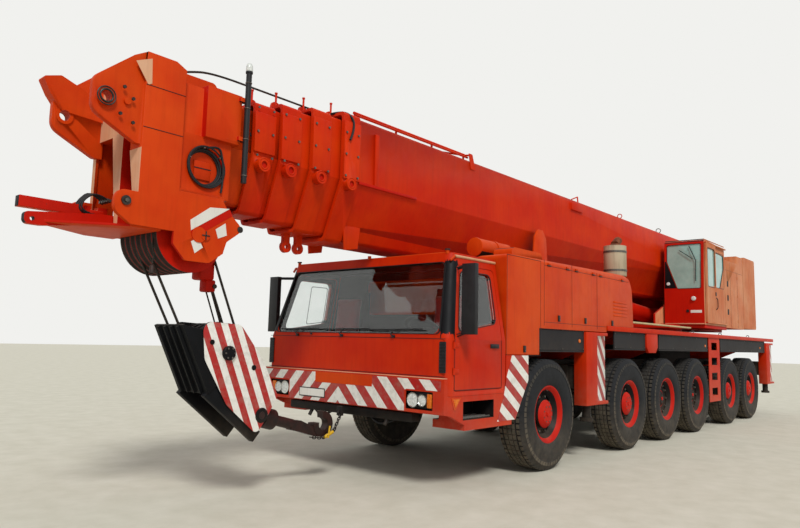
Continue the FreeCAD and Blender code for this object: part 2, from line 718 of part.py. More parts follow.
# Lamps: headlamps in the bumper, amber side lamps, rear lamps in the rear beam
lamps = []
for sign in (1.0, -1.0):
    headlamp = block(lamp_back_x, bumper_front_x - 6.0, lamp_inner_y + 8.0, lamp_outer_y - 8.0,
                     858.0, 1032.0)
    side_lamp = block(4490.0, 4620.0, half_width, half_width + 12.0, 880.0, 975.0)
    rear_lamp = block(rear_end_x + 2.0, rear_end_x + 26.0, web_half - 350.0, web_half - 50.0,
                      1020.0, 1120.0)
    lamps += [on_side(headlamp, sign), on_side(side_lamp, sign), on_side(rear_lamp, sign)]
save("carrier_lamps", lamps)

# Slewing ring: the geared outer ring bolted to the pedestal
slew_ring = post(slew_x, 0.0, pedestal_top, pedestal_top + ring_height, ring_radius)
slew_ring = slew_ring.cut(post(slew_x, 0.0, pedestal_top - 5.0, pedestal_top + ring_height + 5.0,
                               ring_radius - 150.0))
save("slew_ring", [slew_ring])

# Superstructure: turntable, boom ears with the foot pin, and the left equipment case
turntable_front_x = slew_x + 900.0
turntable = block(-6785.0, turntable_front_x, -900.0, 900.0,
                  turntable_bottom, turntable_bottom + 80.0)
inner_ring = post(slew_x, 0.0, pedestal_top + ring_height + pin_gap, turntable_bottom,
                  ring_radius - 30.0)
ears = []
for sign in (1.0, -1.0):
    ear = side_plate([
        (turntable_front_x - 200.0, turntable_bottom + 70.0),
        (turntable_front_x - 200.0, 2250.0), (-4500.0, 2620.0), (-5500.0, pivot_z + 150.0),
        (-5750.0, pivot_z + 260.0), (-6100.0, pivot_z + 260.0), (-6300.0, pivot_z),
        (-6785.0, 2800.0), (-6785.0, turntable_bottom + 70.0),
    ], ear_inner_y, ear_inner_y + ear_thickness)
    ears.append(on_side(ear, sign))
foot_pin = pin(pivot_x, pivot_z, -ear_inner_y - ear_thickness - 30.0,
               ear_inner_y + ear_thickness + 30.0, pivot_radius)
luff_pin = pin(luff_base_x, luff_base_z, -ear_inner_y - 10.0, ear_inner_y + 10.0,
               luff_pin_radius)
case = block(-6770.0, -5360.0, ear_inner_y + ear_thickness - 5.0, upper_half, 2030.0, 3520.0)
for hole_z in (3000.0, 2690.0, 2380.0):
    case = case.cut(pin(-5550.0, hole_z, upper_half - 40.0, upper_half + 10.0, 34.0))
case_cap = block(-6770.0, -6300.0, ear_inner_y + ear_thickness + 60.0, upper_half, 3515.0, 3700.0)
cab_floor_plate = block(-5400.0, -3950.0, ear_inner_y + 5.0, upper_half - 5.0, turntable_bottom + 20.0,
                        turntable_bottom + 85.0)
right_case = block(-6770.0, -4600.0, ear_inner_y + ear_thickness - 5.0, upper_half, 2030.0, 2900.0)
superstructure = joined([turntable, inner_ring, foot_pin, luff_pin, case, case_cap, cab_floor_plate,
                         mirrored(right_case)] + ears)
save("superstructure", [superstructure])

# Counterweight
counterweight = rounded_side_plate([
    (-6785.3, 2060.0, 0.0), (-6785.3, 3520.0, 0.0), (-6900.0, 3740.0, 60.0),
    (counterweight_rear_x, 3740.0, 60.0), (counterweight_rear_x, 2060.0, 60.0),
], -upper_half, upper_half)
save("counterweight", [counterweight])

# Hoist winch between the ears, behind the boom foot
drum = joined([pin(-6500.0, 3060.0, -330.0, 330.0, 210.0),
               pin(-6500.0, 3060.0, -370.0, -330.0, 270.0),
               pin(-6500.0, 3060.0, 330.0, 370.0, 270.0),
               pin(-6500.0, 3060.0, -ear_inner_y, ear_inner_y, 60.0)])
save("hoist_winch", [drum])


# Crane cab
crane_cab_front_x = -3900.0
crane_cab_rear_x = -5345.0
crane_cab_floor = 2045.0
crane_cab_roof = 3790.0
crane_cab_inner_y = 600.0
crane_cab_outer_y = upper_half
crane_wall = 45.0


def crane_cab_body(inset):
    front = crane_cab_front_x - inset
    rear = crane_cab_rear_x + inset
    return rounded_side_plate([
        (rear, crane_cab_floor + inset, 20.0), (front, crane_cab_floor + inset, 30.0),
        (front, 2760.0, 0.0), (front - 60.0, crane_cab_roof - inset, 60.0),
        (rear, crane_cab_roof - 50.0 - inset, 70.0),
    ], crane_cab_inner_y + inset, crane_cab_outer_y - inset)


def crane_front_window(gap):
    return rounded_cross_plate([
        (crane_cab_inner_y + 270.0 + gap, 2790.0 + gap, 30.0),
        (crane_cab_outer_y - 60.0 - gap, 2790.0 + gap, 40.0),
        (crane_cab_outer_y - 60.0 - gap, 3700.0 - gap, 40.0),
        (crane_cab_inner_y + 55.0 + gap, 3700.0 - gap, 40.0),
        (crane_cab_inner_y + 55.0 + gap, 3360.0, 60.0),
    ], crane_cab_front_x - 300.0, crane_cab_front_x + 50.0)


def crane_rear_side_window(gap):
    return rounded_side_plate([
        (crane_cab_front_x - 700.0 - gap, 3600.0 - gap, 50.0),
        (crane_cab_rear_x + 80.0 + gap, 3580.0 - gap, 50.0),
        (crane_cab_rear_x + 80.0 + gap, 3300.0, 50.0),
        (crane_cab_rear_x + 345.0, 2860.0 + gap, 50.0),
        (crane_cab_front_x - 700.0 - gap, 2860.0 + gap, 50.0),
    ], crane_cab_outer_y - 100.0, crane_cab_outer_y + 10.0)


def crane_inner_window(gap):
    return rounded_side_plate([
        (crane_cab_front_x - 200.0 - gap, 3600.0 - gap, 50.0),
        (crane_cab_rear_x + 245.0 + gap, 3580.0 - gap, 50.0),
        (crane_cab_rear_x + 245.0 + gap, 3000.0 + gap, 50.0),
        (crane_cab_front_x - 200.0 - gap, 3000.0 + gap, 50.0),
    ], crane_cab_inner_y - 10.0, crane_cab_inner_y + 100.0)


crane_shell = crane_cab_body(0.0).cut(crane_cab_body(crane_wall))
crane_door_front_x = crane_cab_front_x - 65.0
crane_door_rear_x = crane_cab_front_x - 670.0
door_opening = rounded_side_plate([
    (crane_door_rear_x + 40.0, 2130.0, 40.0), (crane_door_front_x - 25.0, 2130.0, 40.0),
    (crane_door_front_x - 25.0, 3690.0, 40.0), (crane_door_rear_x + 40.0, 3690.0, 40.0),
], crane_cab_outer_y - 100.0, crane_cab_outer_y + 10.0)
crane_windows = [crane_front_window, crane_rear_side_window, crane_inner_window]
crane_shell = crane_shell.cut(door_opening)
for window in crane_windows:
    crane_shell = crane_shell.cut(window(0.0))
crane_rails = [
    block(crane_cab_rear_x + 15.0, crane_cab_front_x - 60.0, crane_cab_outer_y - 5.0,
          crane_cab_outer_y + 46.0, 2080.0, 2104.5),
    block(crane_cab_rear_x + 15.0, crane_cab_front_x - 60.0, crane_cab_outer_y - 5.0,
          crane_cab_outer_y + 46.0, 3715.5, 3738.0),
]
crane_shell = joined([crane_shell] + crane_rails)
save("crane_cab", [crane_shell])

crane_layer = crane_cab_body(12.0).cut(crane_cab_body(18.0))
save("crane_cab_glass", [crane_layer.common(window(soft_gap)) for window in crane_windows])


# Crane cab sliding door on rails outside the wall
def crane_door_window(gap):
    return rounded_side_plate([
        (crane_door_rear_x + 60.0 + gap, 2850.0 + gap, 50.0),
        (crane_door_front_x - 55.0 - gap, 2830.0 + gap, 50.0),
        (crane_door_front_x - 55.0 - gap, 3620.0 - gap, 50.0),
        (crane_door_rear_x + 60.0 + gap, 3620.0 - gap, 50.0),
    ], crane_cab_outer_y - 10.0, crane_cab_outer_y + 70.0)


crane_door = block(crane_door_rear_x, crane_door_front_x, crane_cab_outer_y + 8.0,
                   crane_cab_outer_y + 46.0, 2105.0, 3715.0)
crane_door = crane_door.cut(crane_door_window(0.0))
crane_door_pane = block(crane_door_rear_x, crane_door_front_x, crane_cab_outer_y + 22.0,
                        crane_cab_outer_y + 28.0, 2110.0, 3700.0)
crane_door_pane = crane_door_pane.common(crane_door_window(soft_gap))
save("crane_cab_door", [crane_door, crane_door_pane])

# Crane cab seat with its armrest consoles
seat_floor = crane_cab_floor + crane_wall
seat_left = crane_cab_outer_y - 90.0
seat_right = crane_cab_inner_y + 100.0
crane_seat = joined([
    block(-4950.0, -4700.0, seat_right + 170.0, seat_left - 170.0, seat_floor,
          seat_floor + 380.0),
    block(-5050.0, -4560.0, seat_right + 80.0, seat_left - 80.0, seat_floor + 370.0,
          seat_floor + 500.0),
    side_plate([(-5060.0, seat_floor + 490.0), (-4940.0, seat_floor + 490.0),
                (-5060.0, seat_floor + 1200.0), (-5160.0, seat_floor + 1200.0)],
               seat_right + 100.0, seat_left - 100.0),
    block(-5000.0, -4500.0, seat_right, seat_right + 82.0, seat_floor + 440.0,
          seat_floor + 700.0),
    block(-5000.0, -4500.0, seat_left - 82.0, seat_left, seat_floor + 440.0,
          seat_floor + 700.0),
])
save("crane_cab_seat", [crane_seat])


# Boom sections
def tube_outline(section, inset):
    half = section["half"] - inset
    foot = section["foot"] - inset * 0.8
    top = section["top"] - inset
    knee = section["knee"] + inset * 0.4
    bottom = section["bottom"] + inset
    return [
        (half, top, 40.0), (half, knee, 60.0), (foot, bottom, 60.0),
        (-foot, bottom, 60.0), (-half, knee, 60.0), (-half, top, 40.0),
    ]


def boom_tube(section):
    body = rounded_cross_plate(tube_outline(section, 0.0), section["rear"], section["front"])
    hollow = rounded_cross_plate(tube_outline(section, boom_plate),
                                 section["rear"] - 10.0, section["front"] + 10.0)
    return body.cut(hollow)


def collar(section, wide):
    body = rounded_cross_plate(tube_outline(section, -wide), section["front"] - collar_length,
                               section["front"])
    hollow = rounded_cross_plate(tube_outline(section, boom_plate),
                                 section["front"] - collar_length - 10.0,
                                 section["front"] + 10.0)
    return body.cut(hollow)


def slide_pads(section, inner):
    """Pads in the collar that the next section runs on, above and below it."""
    x0 = section["front"] - 220.0
    x1 = section["front"] - 20.0
    low = block(x0, x1, -inner["foot"] + 50.0, inner["foot"] - 50.0,
                section["bottom"] + boom_plate - 2.0, inner["bottom"] - pin_gap)
    pads = [low]
    for y in (-inner["half"] + 120.0, inner["half"] - 240.0):
        pads.append(block(x0, x1, y, y + 120.0, inner["top"] + pin_gap,
                          section["top"] - boom_plate + 2.0))
    return pads


def collar_trim(section):
    """Side boxes and pad bosses of a collar, and a guide rod with its lug on top."""
    front = section["front"]
    half = section["half"]
    top = section["top"]
    pieces = []
    for sign in (1.0, -1.0):
        side_box = block(front - collar_length, front, half, half + 40.0,
                         section["knee"] + 20.0, top - 90.0)
        boss = pin(front - 110.0, 3235.0, half - 10.0, half + 62.0, 70.0)
        boss = boss.cut(pin(front - 110.0, 3235.0, half + 40.0, half + 70.0, 38.0))
        pieces += [on_side(side_box, sign), on_side(boss, sign)]
    pieces.append(post(front - 70.0, 200.0, top, top + 190.0, 11.0))
    pieces.append(rounded_side_plate([
        (front - 190.0, top, 0.0), (front - 150.0, top + 110.0, 35.0),
        (front - 70.0, top + 110.0, 35.0), (front - 40.0, top, 0.0),
    ], 120.0, 150.0))
    return pieces


base = boom_sections[0]
base_tube = joined([boom_tube(base), collar(base, 18.0)] + slide_pads(base, boom_sections[1])
                   + collar_trim(base))
foot_bore = pin(pivot_x, pivot_z, -600.0, 600.0, pivot_radius + pin_gap)
foot_boss = joined([pin(pivot_x, pivot_z, base["half"] - 40.0, base["half"] + 20.0, 220.0),
                    pin(pivot_x, pivot_z, -base["half"] - 20.0, -base["half"] + 40.0, 220.0)])
rear_cut = side_plate([
    (base["rear"] - 10.0, base["bottom"] - 50.0), (-5300.0, base["bottom"] - 50.0),
    (base["rear"] - 10.0, 3300.0),
], -600.0, 600.0)
rear_cut_top = side_plate([
    (base["rear"] - 10.0, base["top"] + 50.0), (-5300.0, base["top"] + 50.0),
    (base["rear"] - 10.0, 3660.0),
], -600.0, 600.0)
luff_lugs = []
for sign in (1.0, -1.0):
    lug = rounded_side_plate([
        (luff_eye_x - 420.0, base["bottom"] + 5.0, 0.0), (luff_eye_x, luff_eye_z - 150.0, 110.0),
        (luff_eye_x + 420.0, base["bottom"] + 5.0, 0.0),
    ], 150.0, 200.0)
    luff_lugs.append(on_side(lug, sign))
luff_pin_ends = both_sides(pin(luff_eye_x, luff_eye_z, 148.0, 205.0, luff_pin_radius))
boom_base = joined([base_tube, foot_boss] + luff_lugs + luff_pin_ends)
boom_base = boom_base.cut(rear_cut).cut(rear_cut_top).cut(foot_bore)
# Hand rail on the top edge, gussets under the collar and a side bracket
rail_y = base["half"] - 80.0
rail_z = base["top"] + 80.0
base_extras = [bar(V(3000.0, rail_y, rail_z), V(5120.0, rail_y, rail_z), 18.0)]
for x in (3020.0, 3710.0, 4400.0, 5100.0):
    base_extras.append(post(x, rail_y, base["top"] - 8.0, rail_z, 14.0))
for sign in (1.0, -1.0):
    gusset = side_plate([(4870.0, 2825.0), (4900.0, 2580.0), (5100.0, 2545.0), (5130.0, 2825.0)],
                        290.0, 310.0)
    side_bracket = block(-350.0, 60.0, base["half"] - 8.0, base["half"] + 34.0, 3830.0, 3960.0)
    base_extras += [on_side(gusset, sign), on_side(side_bracket, sign)]
boom_base = joined([boom_base] + base_extras)
save("boom_base", [boom_base])

for index in (1, 2, 3):
    section = boom_sections[index]
    pads = slide_pads(section, boom_sections[index + 1])
    extras = collar_trim(section)
    if index == 1:
        for x in (5520.0, 5690.0):
            ring_lug = pin(x, 2530.0, -25.0, 25.0, 62.0).fuse(
                block(x - 40.0, x + 40.0, -25.0, 25.0, 2560.0, section["bottom"] + 8.0))
            extras.append(ring_lug.cut(pin(x, 2530.0, -30.0, 30.0, 25.0)))
    save(section["name"], [joined([boom_tube(section), collar(section, 14.0)] + pads + extras)])

# Boom head: innermost section with its side plates, noses, lugs, prongs and sheave cheeks
tip = boom_sections[4]
head_inner = head_half - head_plate
nose_x = boom_nose_x - 380.0
nose_z = 3445.0
lug_x = boom_nose_x - 600.0
lug_z = 2630.0
plate_front_x = boom_nose_x - 700.0
head_parts = [boom_tube(tip)]
plate_outline = [(7230.0, 2440.0), (7230.0, 3880.0), (7330.0, 3930.0), (plate_front_x, 3930.0),
                 (plate_front_x, 2440.0)]
nose_outline = [
    (7560.0, 3930.0, 0.0), (plate_front_x, 3930.0, 15.0), (7700.0, 3870.0, 50.0),
    (nose_x + 100.0, nose_z + 145.0, 110.0), (nose_x + 100.0, nose_z - 125.0, 110.0),
    (7640.0, 3130.0, 40.0), (7560.0, 3130.0, 0.0),
]
lug_outline = [
    (7560.0, 2440.0, 0.0), (7560.0, 2720.0, 0.0), (lug_x + 90.0, 2720.0, 85.0),
    (lug_x + 90.0, 2540.0, 85.0), (7640.0, 2440.0, 0.0),
]
cheek_outline = [
    (7260.0, 2800.0, 0.0), (7260.0, 2330.0, 40.0), (7140.0, 2200.0, 60.0), (6900.0, 2200.0, 60.0),
    (6760.0, 2300.0, 0.0), (6730.0, 2410.0, 0.0), (6550.0, 2545.0, 60.0), (6730.0, 2700.0, 60.0),
    (6800.0, 2800.0, 0.0),
]
for sign in (1.0, -1.0):
    wall = side_plate(plate_outline, head_inner, head_half)
    if sign < 0:
        wall = wall.cut(side_plate([(7390.0, 3050.0), (7270.0, 2620.0), (7390.0, 2620.0)],
                                   head_inner - 10.0, head_half + 10.0))
    nose = rounded_side_plate(nose_outline, head_inner - 60.0, head_inner)
    nose_boss = pin(nose_x, nose_z, head_inner - 75.0, head_half, 75.0)
    small_boss = pin(7740.0, 3455.0, head_inner - 10.0, head_half - 8.0, 28.0)
    lug = rounded_side_plate(lug_outline, head_inner - 20.0, head_half)
    lug_boss = pin(lug_x, lug_z, head_inner - 35.0, head_half, 72.0)
    cheek = rounded_side_plate(cheek_outline, head_inner, head_half)
    cheek = cheek.cut(pin(6590.0, 2545.0, head_inner - 10.0, head_half + 10.0, 20.0))
    box_a = block(6640.0, 7010.0, tip["half"] - 5.0, head_half, 3340.0, 3820.0)
    box_b = block(6700.0, 7280.0, tip["half"] - 120.0, head_half - 50.0, 2800.0, 3345.0)
    box_b = box_b.cut(pin(6960.0, 3070.0, head_half - 110.0, head_half, 180.0))
    box_c = block(7005.0, 7300.0, tip["half"] - 5.0, head_half - 70.0, 3340.0, 3800.0)
    for piece in (wall, nose, nose_boss, small_boss, lug, lug_boss, cheek, box_a, box_b, box_c):
        head_parts.append(on_side(piece, sign))
# Upper box, front flanges and the middle plate
head_parts.append(block(7285.0, 7590.0, -head_inner - 5.0, head_inner + 5.0, 3280.0, 3900.0))
flange_back_x = plate_front_x - 25.0
head_parts.append(cross_plate([(head_half, 3930.0), (250.0, 3930.0), (250.0, 3100.0),
                               (400.0, 2480.0), (head_half, 2480.0)], flange_back_x, plate_front_x))
head_parts.append(cross_plate([(115.0, 3285.0), (-90.0, 3285.0), (60.0, 2435.0), (115.0, 2435.0)],
                              flange_back_x, plate_front_x))
head_parts.append(cross_plate([(-head_half, 3930.0), (-390.0, 3930.0), (-390.0, 2480.0),
                               (-head_half, 2480.0)], flange_back_x, plate_front_x))
head_parts.append(side_plate([(7280.0, 3300.0), (plate_front_x, 3300.0), (plate_front_x, 2435.0),
                              (7370.0, 2435.0), (7370.0, 2680.0), (7280.0, 2830.0)], 85.0, 115.0))
head_parts.append(block(6760.0, 7300.0, -head_inner - 10.0, head_inner + 10.0, 2786.0, 2826.0))
head_parts.append(pin(sheave_x, sheave_z, -head_half - 10.0, head_half + 10.0,
                      sheave_pin_radius))
# Bottom plate with the low prong and the bar above it
head_parts.append(flat_plate([
    (7370.0, -head_inner - 10.0), (7370.0, head_inner + 10.0), (7640.0, head_inner + 10.0),
    (boom_nose_x - 150.0, 30.0), (boom_nose_x - 150.0, -110.0), (7640.0, -head_inner - 10.0),
], 2425.0, 2445.0))
prong = rounded_side_plate([
    (7570.0, 2430.0, 0.0), (7570.0, 2560.0, 0.0), (7700.0, 2560.0, 40.0),
    (boom_nose_x, 2490.0, 30.0), (boom_nose_x, 2395.0, 40.0), (boom_nose_x - 130.0, 2395.0, 20.0),
    (boom_nose_x - 400.0, 2430.0, 0.0),
], -30.0, 30.0)
prong = prong.cut(pin(boom_nose_x - 60.0, 2440.0, -40.0, 40.0, 18.0))
prong_bar = block(7580.0, boom_nose_x, -200.0, -120.0, 2550.0, 2640.0)
prong_foot = block(7580.0, 7660.0, -200.0, -120.0, 2430.0, 2640.0)
horn = rounded_side_plate([
    (7400.0, 3450.0, 0.0), (7400.0, 3540.0, 0.0), (7570.0, 3600.0, 80.0), (7790.0, 3720.0, 80.0),
    (7980.0, 3790.0, 30.0), (8130.0, 3740.0, 20.0), (8060.0, 3610.0, 20.0), (7960.0, 3480.0, 60.0),
], -head_half, -head_inner + 90.0)
head_parts += [prong, prong_bar, prong_foot, horn]
# Hose mast with its two brackets, and the rope roller on top with its guards
head_parts.append(post(6610.0, head_half + 42.0, 2980.0, 4060.0, 27.0))
for z in (3380.0, 3760.0):
    head_parts.append(block(6590.0, 6680.0, head_half - 30.0, head_half + 30.0, z, z + 40.0))
head_parts.append(pin(7190.0, 3880.0, -200.0, 200.0, 60.0))
for y in (-200.0, 170.0):
    head_parts.append(rounded_side_plate([
        (6700.0, tip["top"] - 8.0, 0.0), (6780.0, 3960.0, 60.0), (7180.0, 3960.0, 60.0),
        (7290.0, 3850.0, 0.0), (7290.0, tip["top"] - 8.0, 0.0),
    ], y, y + 30.0))
boom_head = joined(head_parts)
boom_head = boom_head.cut(pin(nose_x, nose_z, -600.0, 600.0, 45.0))
boom_head = boom_head.cut(pin(lug_x, lug_z, -600.0, 600.0, 35.0))
save("boom_head", [boom_head])

# Head sheaves
groove_depth = 40.0
sheave_pitch = 95.0


def sheave(x, z, y, radius, bore):
    half = sheave_pitch / 2.0 - 5.0
    return turned([
        (y - half, bore), (y - half, radius), (y - half + 12.0, radius),
        (y, radius - groove_depth), (y + half - 12.0, radius), (y + half, radius),
        (y + half, bore),
    ], x, z)


head_sheave_rows = [(index - 3) * sheave_pitch for index in range(7)]
save("head_sheaves", [sheave(sheave_x, sheave_z, y, sheave_radius, sheave_pin_radius + pin_gap)
                      for y in head_sheave_rows])

# Luffing cylinder
luff_start = V(luff_base_x, 0.0, luff_base_z)
luff_end = V(luff_eye_x, 0.0, luff_eye_z)
luff_along = (luff_end - luff_start).normalize()
barrel = joined([
    bar(luff_start, luff_start + luff_along * luff_barrel_length, luff_barrel_radius),
    pin(luff_base_x, luff_base_z, -200.0, 200.0, 185.0),
])
barrel = barrel.cut(bar(luff_start + luff_along * 260.0, luff_start + luff_along * 3000.0,
                        luff_rod_radius + 0.8))
barrel = barrel.cut(pin(luff_base_x, luff_base_z, -210.0, 210.0, luff_pin_radius + pin_gap))
save("luffing_barrel", [barrel])
rod = joined([bar(luff_end, luff_end - luff_along * luff_rod_length, luff_rod_radius),
              pin(luff_eye_x, luff_eye_z, -138.0, 138.0, 130.0)])
save("luffing_rod", [rod])

# Hook block: cheeks and sheaves, drawn back towards the bumper
hook_rows = [(index - 2) * sheave_pitch for index in range(5)]
cheek_inner = 2.5 * sheave_pitch + 4.0
cheeks = []
trunnion_bore = pin(trunnion_x, trunnion_z, cheek_inner - 5.0, cheek_inner + 33.0,
                    trunnion_radius + pin_gap)
for sign in (1.0, -1.0):
    cheeks.append(on_side(rounded_side_plate([
        (hook_x + 290.0, hook_z + 290.0, 90.0), (hook_x - 130.0, hook_z + 270.0, 80.0),
        (hook_x - 410.0, hook_z - 70.0, 120.0), (hook_x - 610.0, hook_z - 420.0, 60.0),
        (hook_x - 500.0, hook_z - 600.0, 60.0), (hook_x - 370.0, hook_z - 780.0, 60.0),
        (hook_x - 10.0, hook_z - 480.0, 90.0), (hook_x + 250.0, hook_z - 60.0, 120.0),
    ], cheek_inner, cheek_inner + 28.0).cut(trunnion_bore), sign))
hook_sheaves = [sheave(hook_x, hook_z, y, hook_sheave_radius, 50.0) for y in hook_rows]
hook_pin = pin(hook_x, hook_z, -cheek_inner - 60.0, cheek_inner + 60.0, 60.0)
# Guards: ribbed shroud ahead of the falls, square to them, and two frames below it
fall = V(sheave_x - hook_x, 0.0, sheave_z - hook_z).normalize()


def off_fall(out, along):
    """Point (x, z) that lies out ahead of the block's centre and along the falls."""
    return (hook_x + fall.z * out + fall.x * along, hook_z - fall.x * out + fall.z * along)


def shroud_plate(out0, out1, along0, along1, y0, y1):
    return side_plate([off_fall(out0, along0), off_fall(out1, along0), off_fall(out1, along1),
                       off_fall(out0, along1)], y0, y1)


guard_parts = [shroud_plate(300.0, 324.0, -260.0, 430.0, -cheek_inner - 5.0, cheek_inner + 5.0)]
for y in (-165.0, -55.0, 55.0, 165.0):
    guard_parts.append(shroud_plate(320.0, 350.0, -250.0, 420.0, y - 10.0, y + 10.0))
for sign in (1.0, -1.0):
    shroud_side = side_plate([off_fall(110.0, -200.0), off_fall(324.0, -260.0),
                              off_fall(324.0, 430.0), off_fall(60.0, 250.0)],
                             cheek_inner, cheek_inner + 16.0)
    frame_arm = side_plate([
        (hook_x + 215.0, hook_z - 390.0), (hook_x + 120.0, hook_z - 300.0),
        (hook_x - 430.0, hook_z - 760.0), (hook_x - 350.0, hook_z - 850.0),
    ], cheek_inner - 60.0, cheek_inner + 5.0)
    guard_parts += [on_side(shroud_side, sign), on_side(frame_arm, sign)]
hook_block = joined(cheeks + hook_sheaves + [hook_pin] + guard_parts)
save("hook_block", [hook_block])

# Load hook: crosshead on its trunnions in the cheeks, shank, swivel, and bowl with an open mouth
crosshead_half = cheek_inner - 5.0
trunnion_half = cheek_inner + 36.0
crosshead = joined([
    pin(trunnion_x, trunnion_z, -crosshead_half, crosshead_half, 85.0),
    pin(trunnion_x, trunnion_z, -trunnion_half, trunnion_half, trunnion_radius),
])
shank_start = V(trunnion_x, 0.0, trunnion_z)
shank_end = V(5480.0, 0.0, 640.0)
bowl_x = 5080.0
bowl_z = 620.0
bowl = pin(bowl_x, bowl_z, -50.0, 50.0, 140.0).cut(pin(bowl_x, bowl_z, -60.0, 60.0, 66.0))
mouth = side_plate([(bowl_x, bowl_z + 20.0), (bowl_x + 200.0, bowl_z + 20.0),
                    (bowl_x + 200.0, bowl_z + 200.0), (bowl_x + 20.0, bowl_z + 200.0)],
                   -60.0, 60.0)
throat = side_plate([(bowl_x + 40.0, bowl_z - 134.0), (bowl_x + 90.0, bowl_z - 40.0),
                     (5400.0, 680.0), (5520.0, 690.0), (5530.0, 590.0), (5400.0, 560.0),
                     (5200.0, 500.0)], -45.0, 45.0)
shank = bar(shank_start, shank_end, 55.0)
swivel = bar(V(5760.0, 0.0, 711.0), V(5900.0, 0.0, 746.7), 105.0)
save("load_hook", [joined([crosshead, bowl.cut(mouth), throat, shank, swivel])])

# Hoist ropes: falls on the outer tangents of the head and hook grooves
rope_radius = 12.0
head_run = sheave_radius - groove_depth + rope_radius + 8.0
hook_run = hook_sheave_radius - groove_depth + rope_radius + 8.0
between = V(hook_x - sheave_x, 0.0, hook_z - sheave_z)
fall_angle = math.acos((head_run - hook_run) / between.Length)
ropes = []
rope_rows = [-sheave_pitch, sheave_pitch]
for y in rope_rows:
    for sign in (1.0, -1.0):
        turn = FreeCAD.Rotation(V(0, 1, 0), sign * math.degrees(fall_angle))
        out = turn.multVec(V(between.x, 0.0, between.z)).normalize()
        start = V(sheave_x, y, sheave_z) + out * head_run
        end = V(hook_x, y, hook_z) + out * hook_run
        ropes.append(bar(start, end, rope_radius))
save("hoist_ropes", ropes)
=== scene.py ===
import bmesh
import bpy
import json
import math
from mathutils import Matrix, Vector


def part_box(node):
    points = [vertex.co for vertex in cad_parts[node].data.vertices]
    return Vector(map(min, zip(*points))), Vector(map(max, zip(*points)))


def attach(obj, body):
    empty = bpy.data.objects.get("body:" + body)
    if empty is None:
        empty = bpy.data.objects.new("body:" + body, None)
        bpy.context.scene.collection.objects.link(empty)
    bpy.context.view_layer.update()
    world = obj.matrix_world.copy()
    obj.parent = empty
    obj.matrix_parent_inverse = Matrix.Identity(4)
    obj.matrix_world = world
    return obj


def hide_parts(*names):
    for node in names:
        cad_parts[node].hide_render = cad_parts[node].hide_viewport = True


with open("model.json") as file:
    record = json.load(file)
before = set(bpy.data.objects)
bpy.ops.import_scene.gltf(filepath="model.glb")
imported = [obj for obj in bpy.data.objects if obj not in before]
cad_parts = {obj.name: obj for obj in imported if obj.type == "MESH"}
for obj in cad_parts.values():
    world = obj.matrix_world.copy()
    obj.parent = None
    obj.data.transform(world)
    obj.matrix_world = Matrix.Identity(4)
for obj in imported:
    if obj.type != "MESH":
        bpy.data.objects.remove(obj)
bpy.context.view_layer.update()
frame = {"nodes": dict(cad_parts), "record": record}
nodes = frame["nodes"]
body_of = {member: body for body, members in frame["record"]["behaviour"]["bodies"].items() for member in members}

# Six-axle mobile crane. Places are written in millimetres from the second axle,
# as the maker's drawing has them, and brought to the frame when a piece is done.
drawing_shift = 425.0
to_frame = Matrix.Scale(0.001, 4) @ Matrix.Translation((drawing_shift, 0.0, 0.0))
to_drawing = to_frame.inverted()
up = Vector((0.0, 0.0, 1.0))
both = (1.0, -1.0)
sides_named = ((1.0, "left"), (-1.0, "right"))
origin, ahead, across, upward = (0.0, 0.0, 0.0), (1.0, 0.0, 0.0), (0.0, 1.0, 0.0), (0.0, 0.0, 1.0)

# Sizes the pieces share with the drawing
half_width = 1475.0
tyre_radius = 690.0
wheel_y = 1267.5
axle_rows = [
    {"number": 1, "x": 2530.0, "hub_out": 150.0, "hub_radius": 175.0},
    {"number": 2, "x": 0.0, "hub_out": 150.0, "hub_radius": 175.0},
    {"number": 3, "x": -1600.0, "hub_out": 75.0, "hub_radius": 140.0},
    {"number": 4, "x": -3200.0, "hub_out": 75.0, "hub_radius": 140.0},
    {"number": 5, "x": -5360.0, "hub_out": 150.0, "hub_radius": 175.0},
    {"number": 6, "x": -6960.0, "hub_out": 150.0, "hub_radius": 175.0},
]
belt_z = 1590.0
screen_lean = 250.0 / 940.0
side_lean = 155.0 / 940.0
crane_front_x = -3900.0
crane_lean = 60.0 / 1030.0
upper_half = 1390.0
head_half = 450.0
boom_pin = (6955.0, 2440.0)
sheave_pin = (6520.0, 1400.0)
mast_lamp = (6610.0, 492.0)
roller = (7190.0, 3880.0)
silencer_top = 3160.0
sill_z = 1400.0


def at(x, y, z):
    """A place in the frame, in metres, from millimetres on the drawing."""
    return to_frame @ Vector((x, y, z))


def screen_x(z):
    """The front of the carrier cab at a height: upright below the belt, leaning back above it."""
    return 4700.0 if z < belt_z else 4700.0 - (z - belt_z) * screen_lean


# Shapes: each function gives a small bmesh in drawing millimetres
def eased(part, edge, segments=2):
    if edge > 0.0:
        bmesh.ops.bevel(part, geom=part.edges[:], offset=edge, offset_type="OFFSET", segments=segments,
                        profile=0.5, affect="EDGES", clamp_overlap=True, material=-1)
    return part


def block(low, high, edge=0.0):
    """A bar or box between two corners."""
    part = bmesh.new()
    low, high = Vector(low), Vector(high)
    size = [abs(c) for c in high - low]
    bmesh.ops.create_cube(part, size=1.0, matrix=Matrix.Translation((low + high) / 2.0)
                          @ Matrix.Diagonal((*size, 1.0)))
    return eased(part, edge)


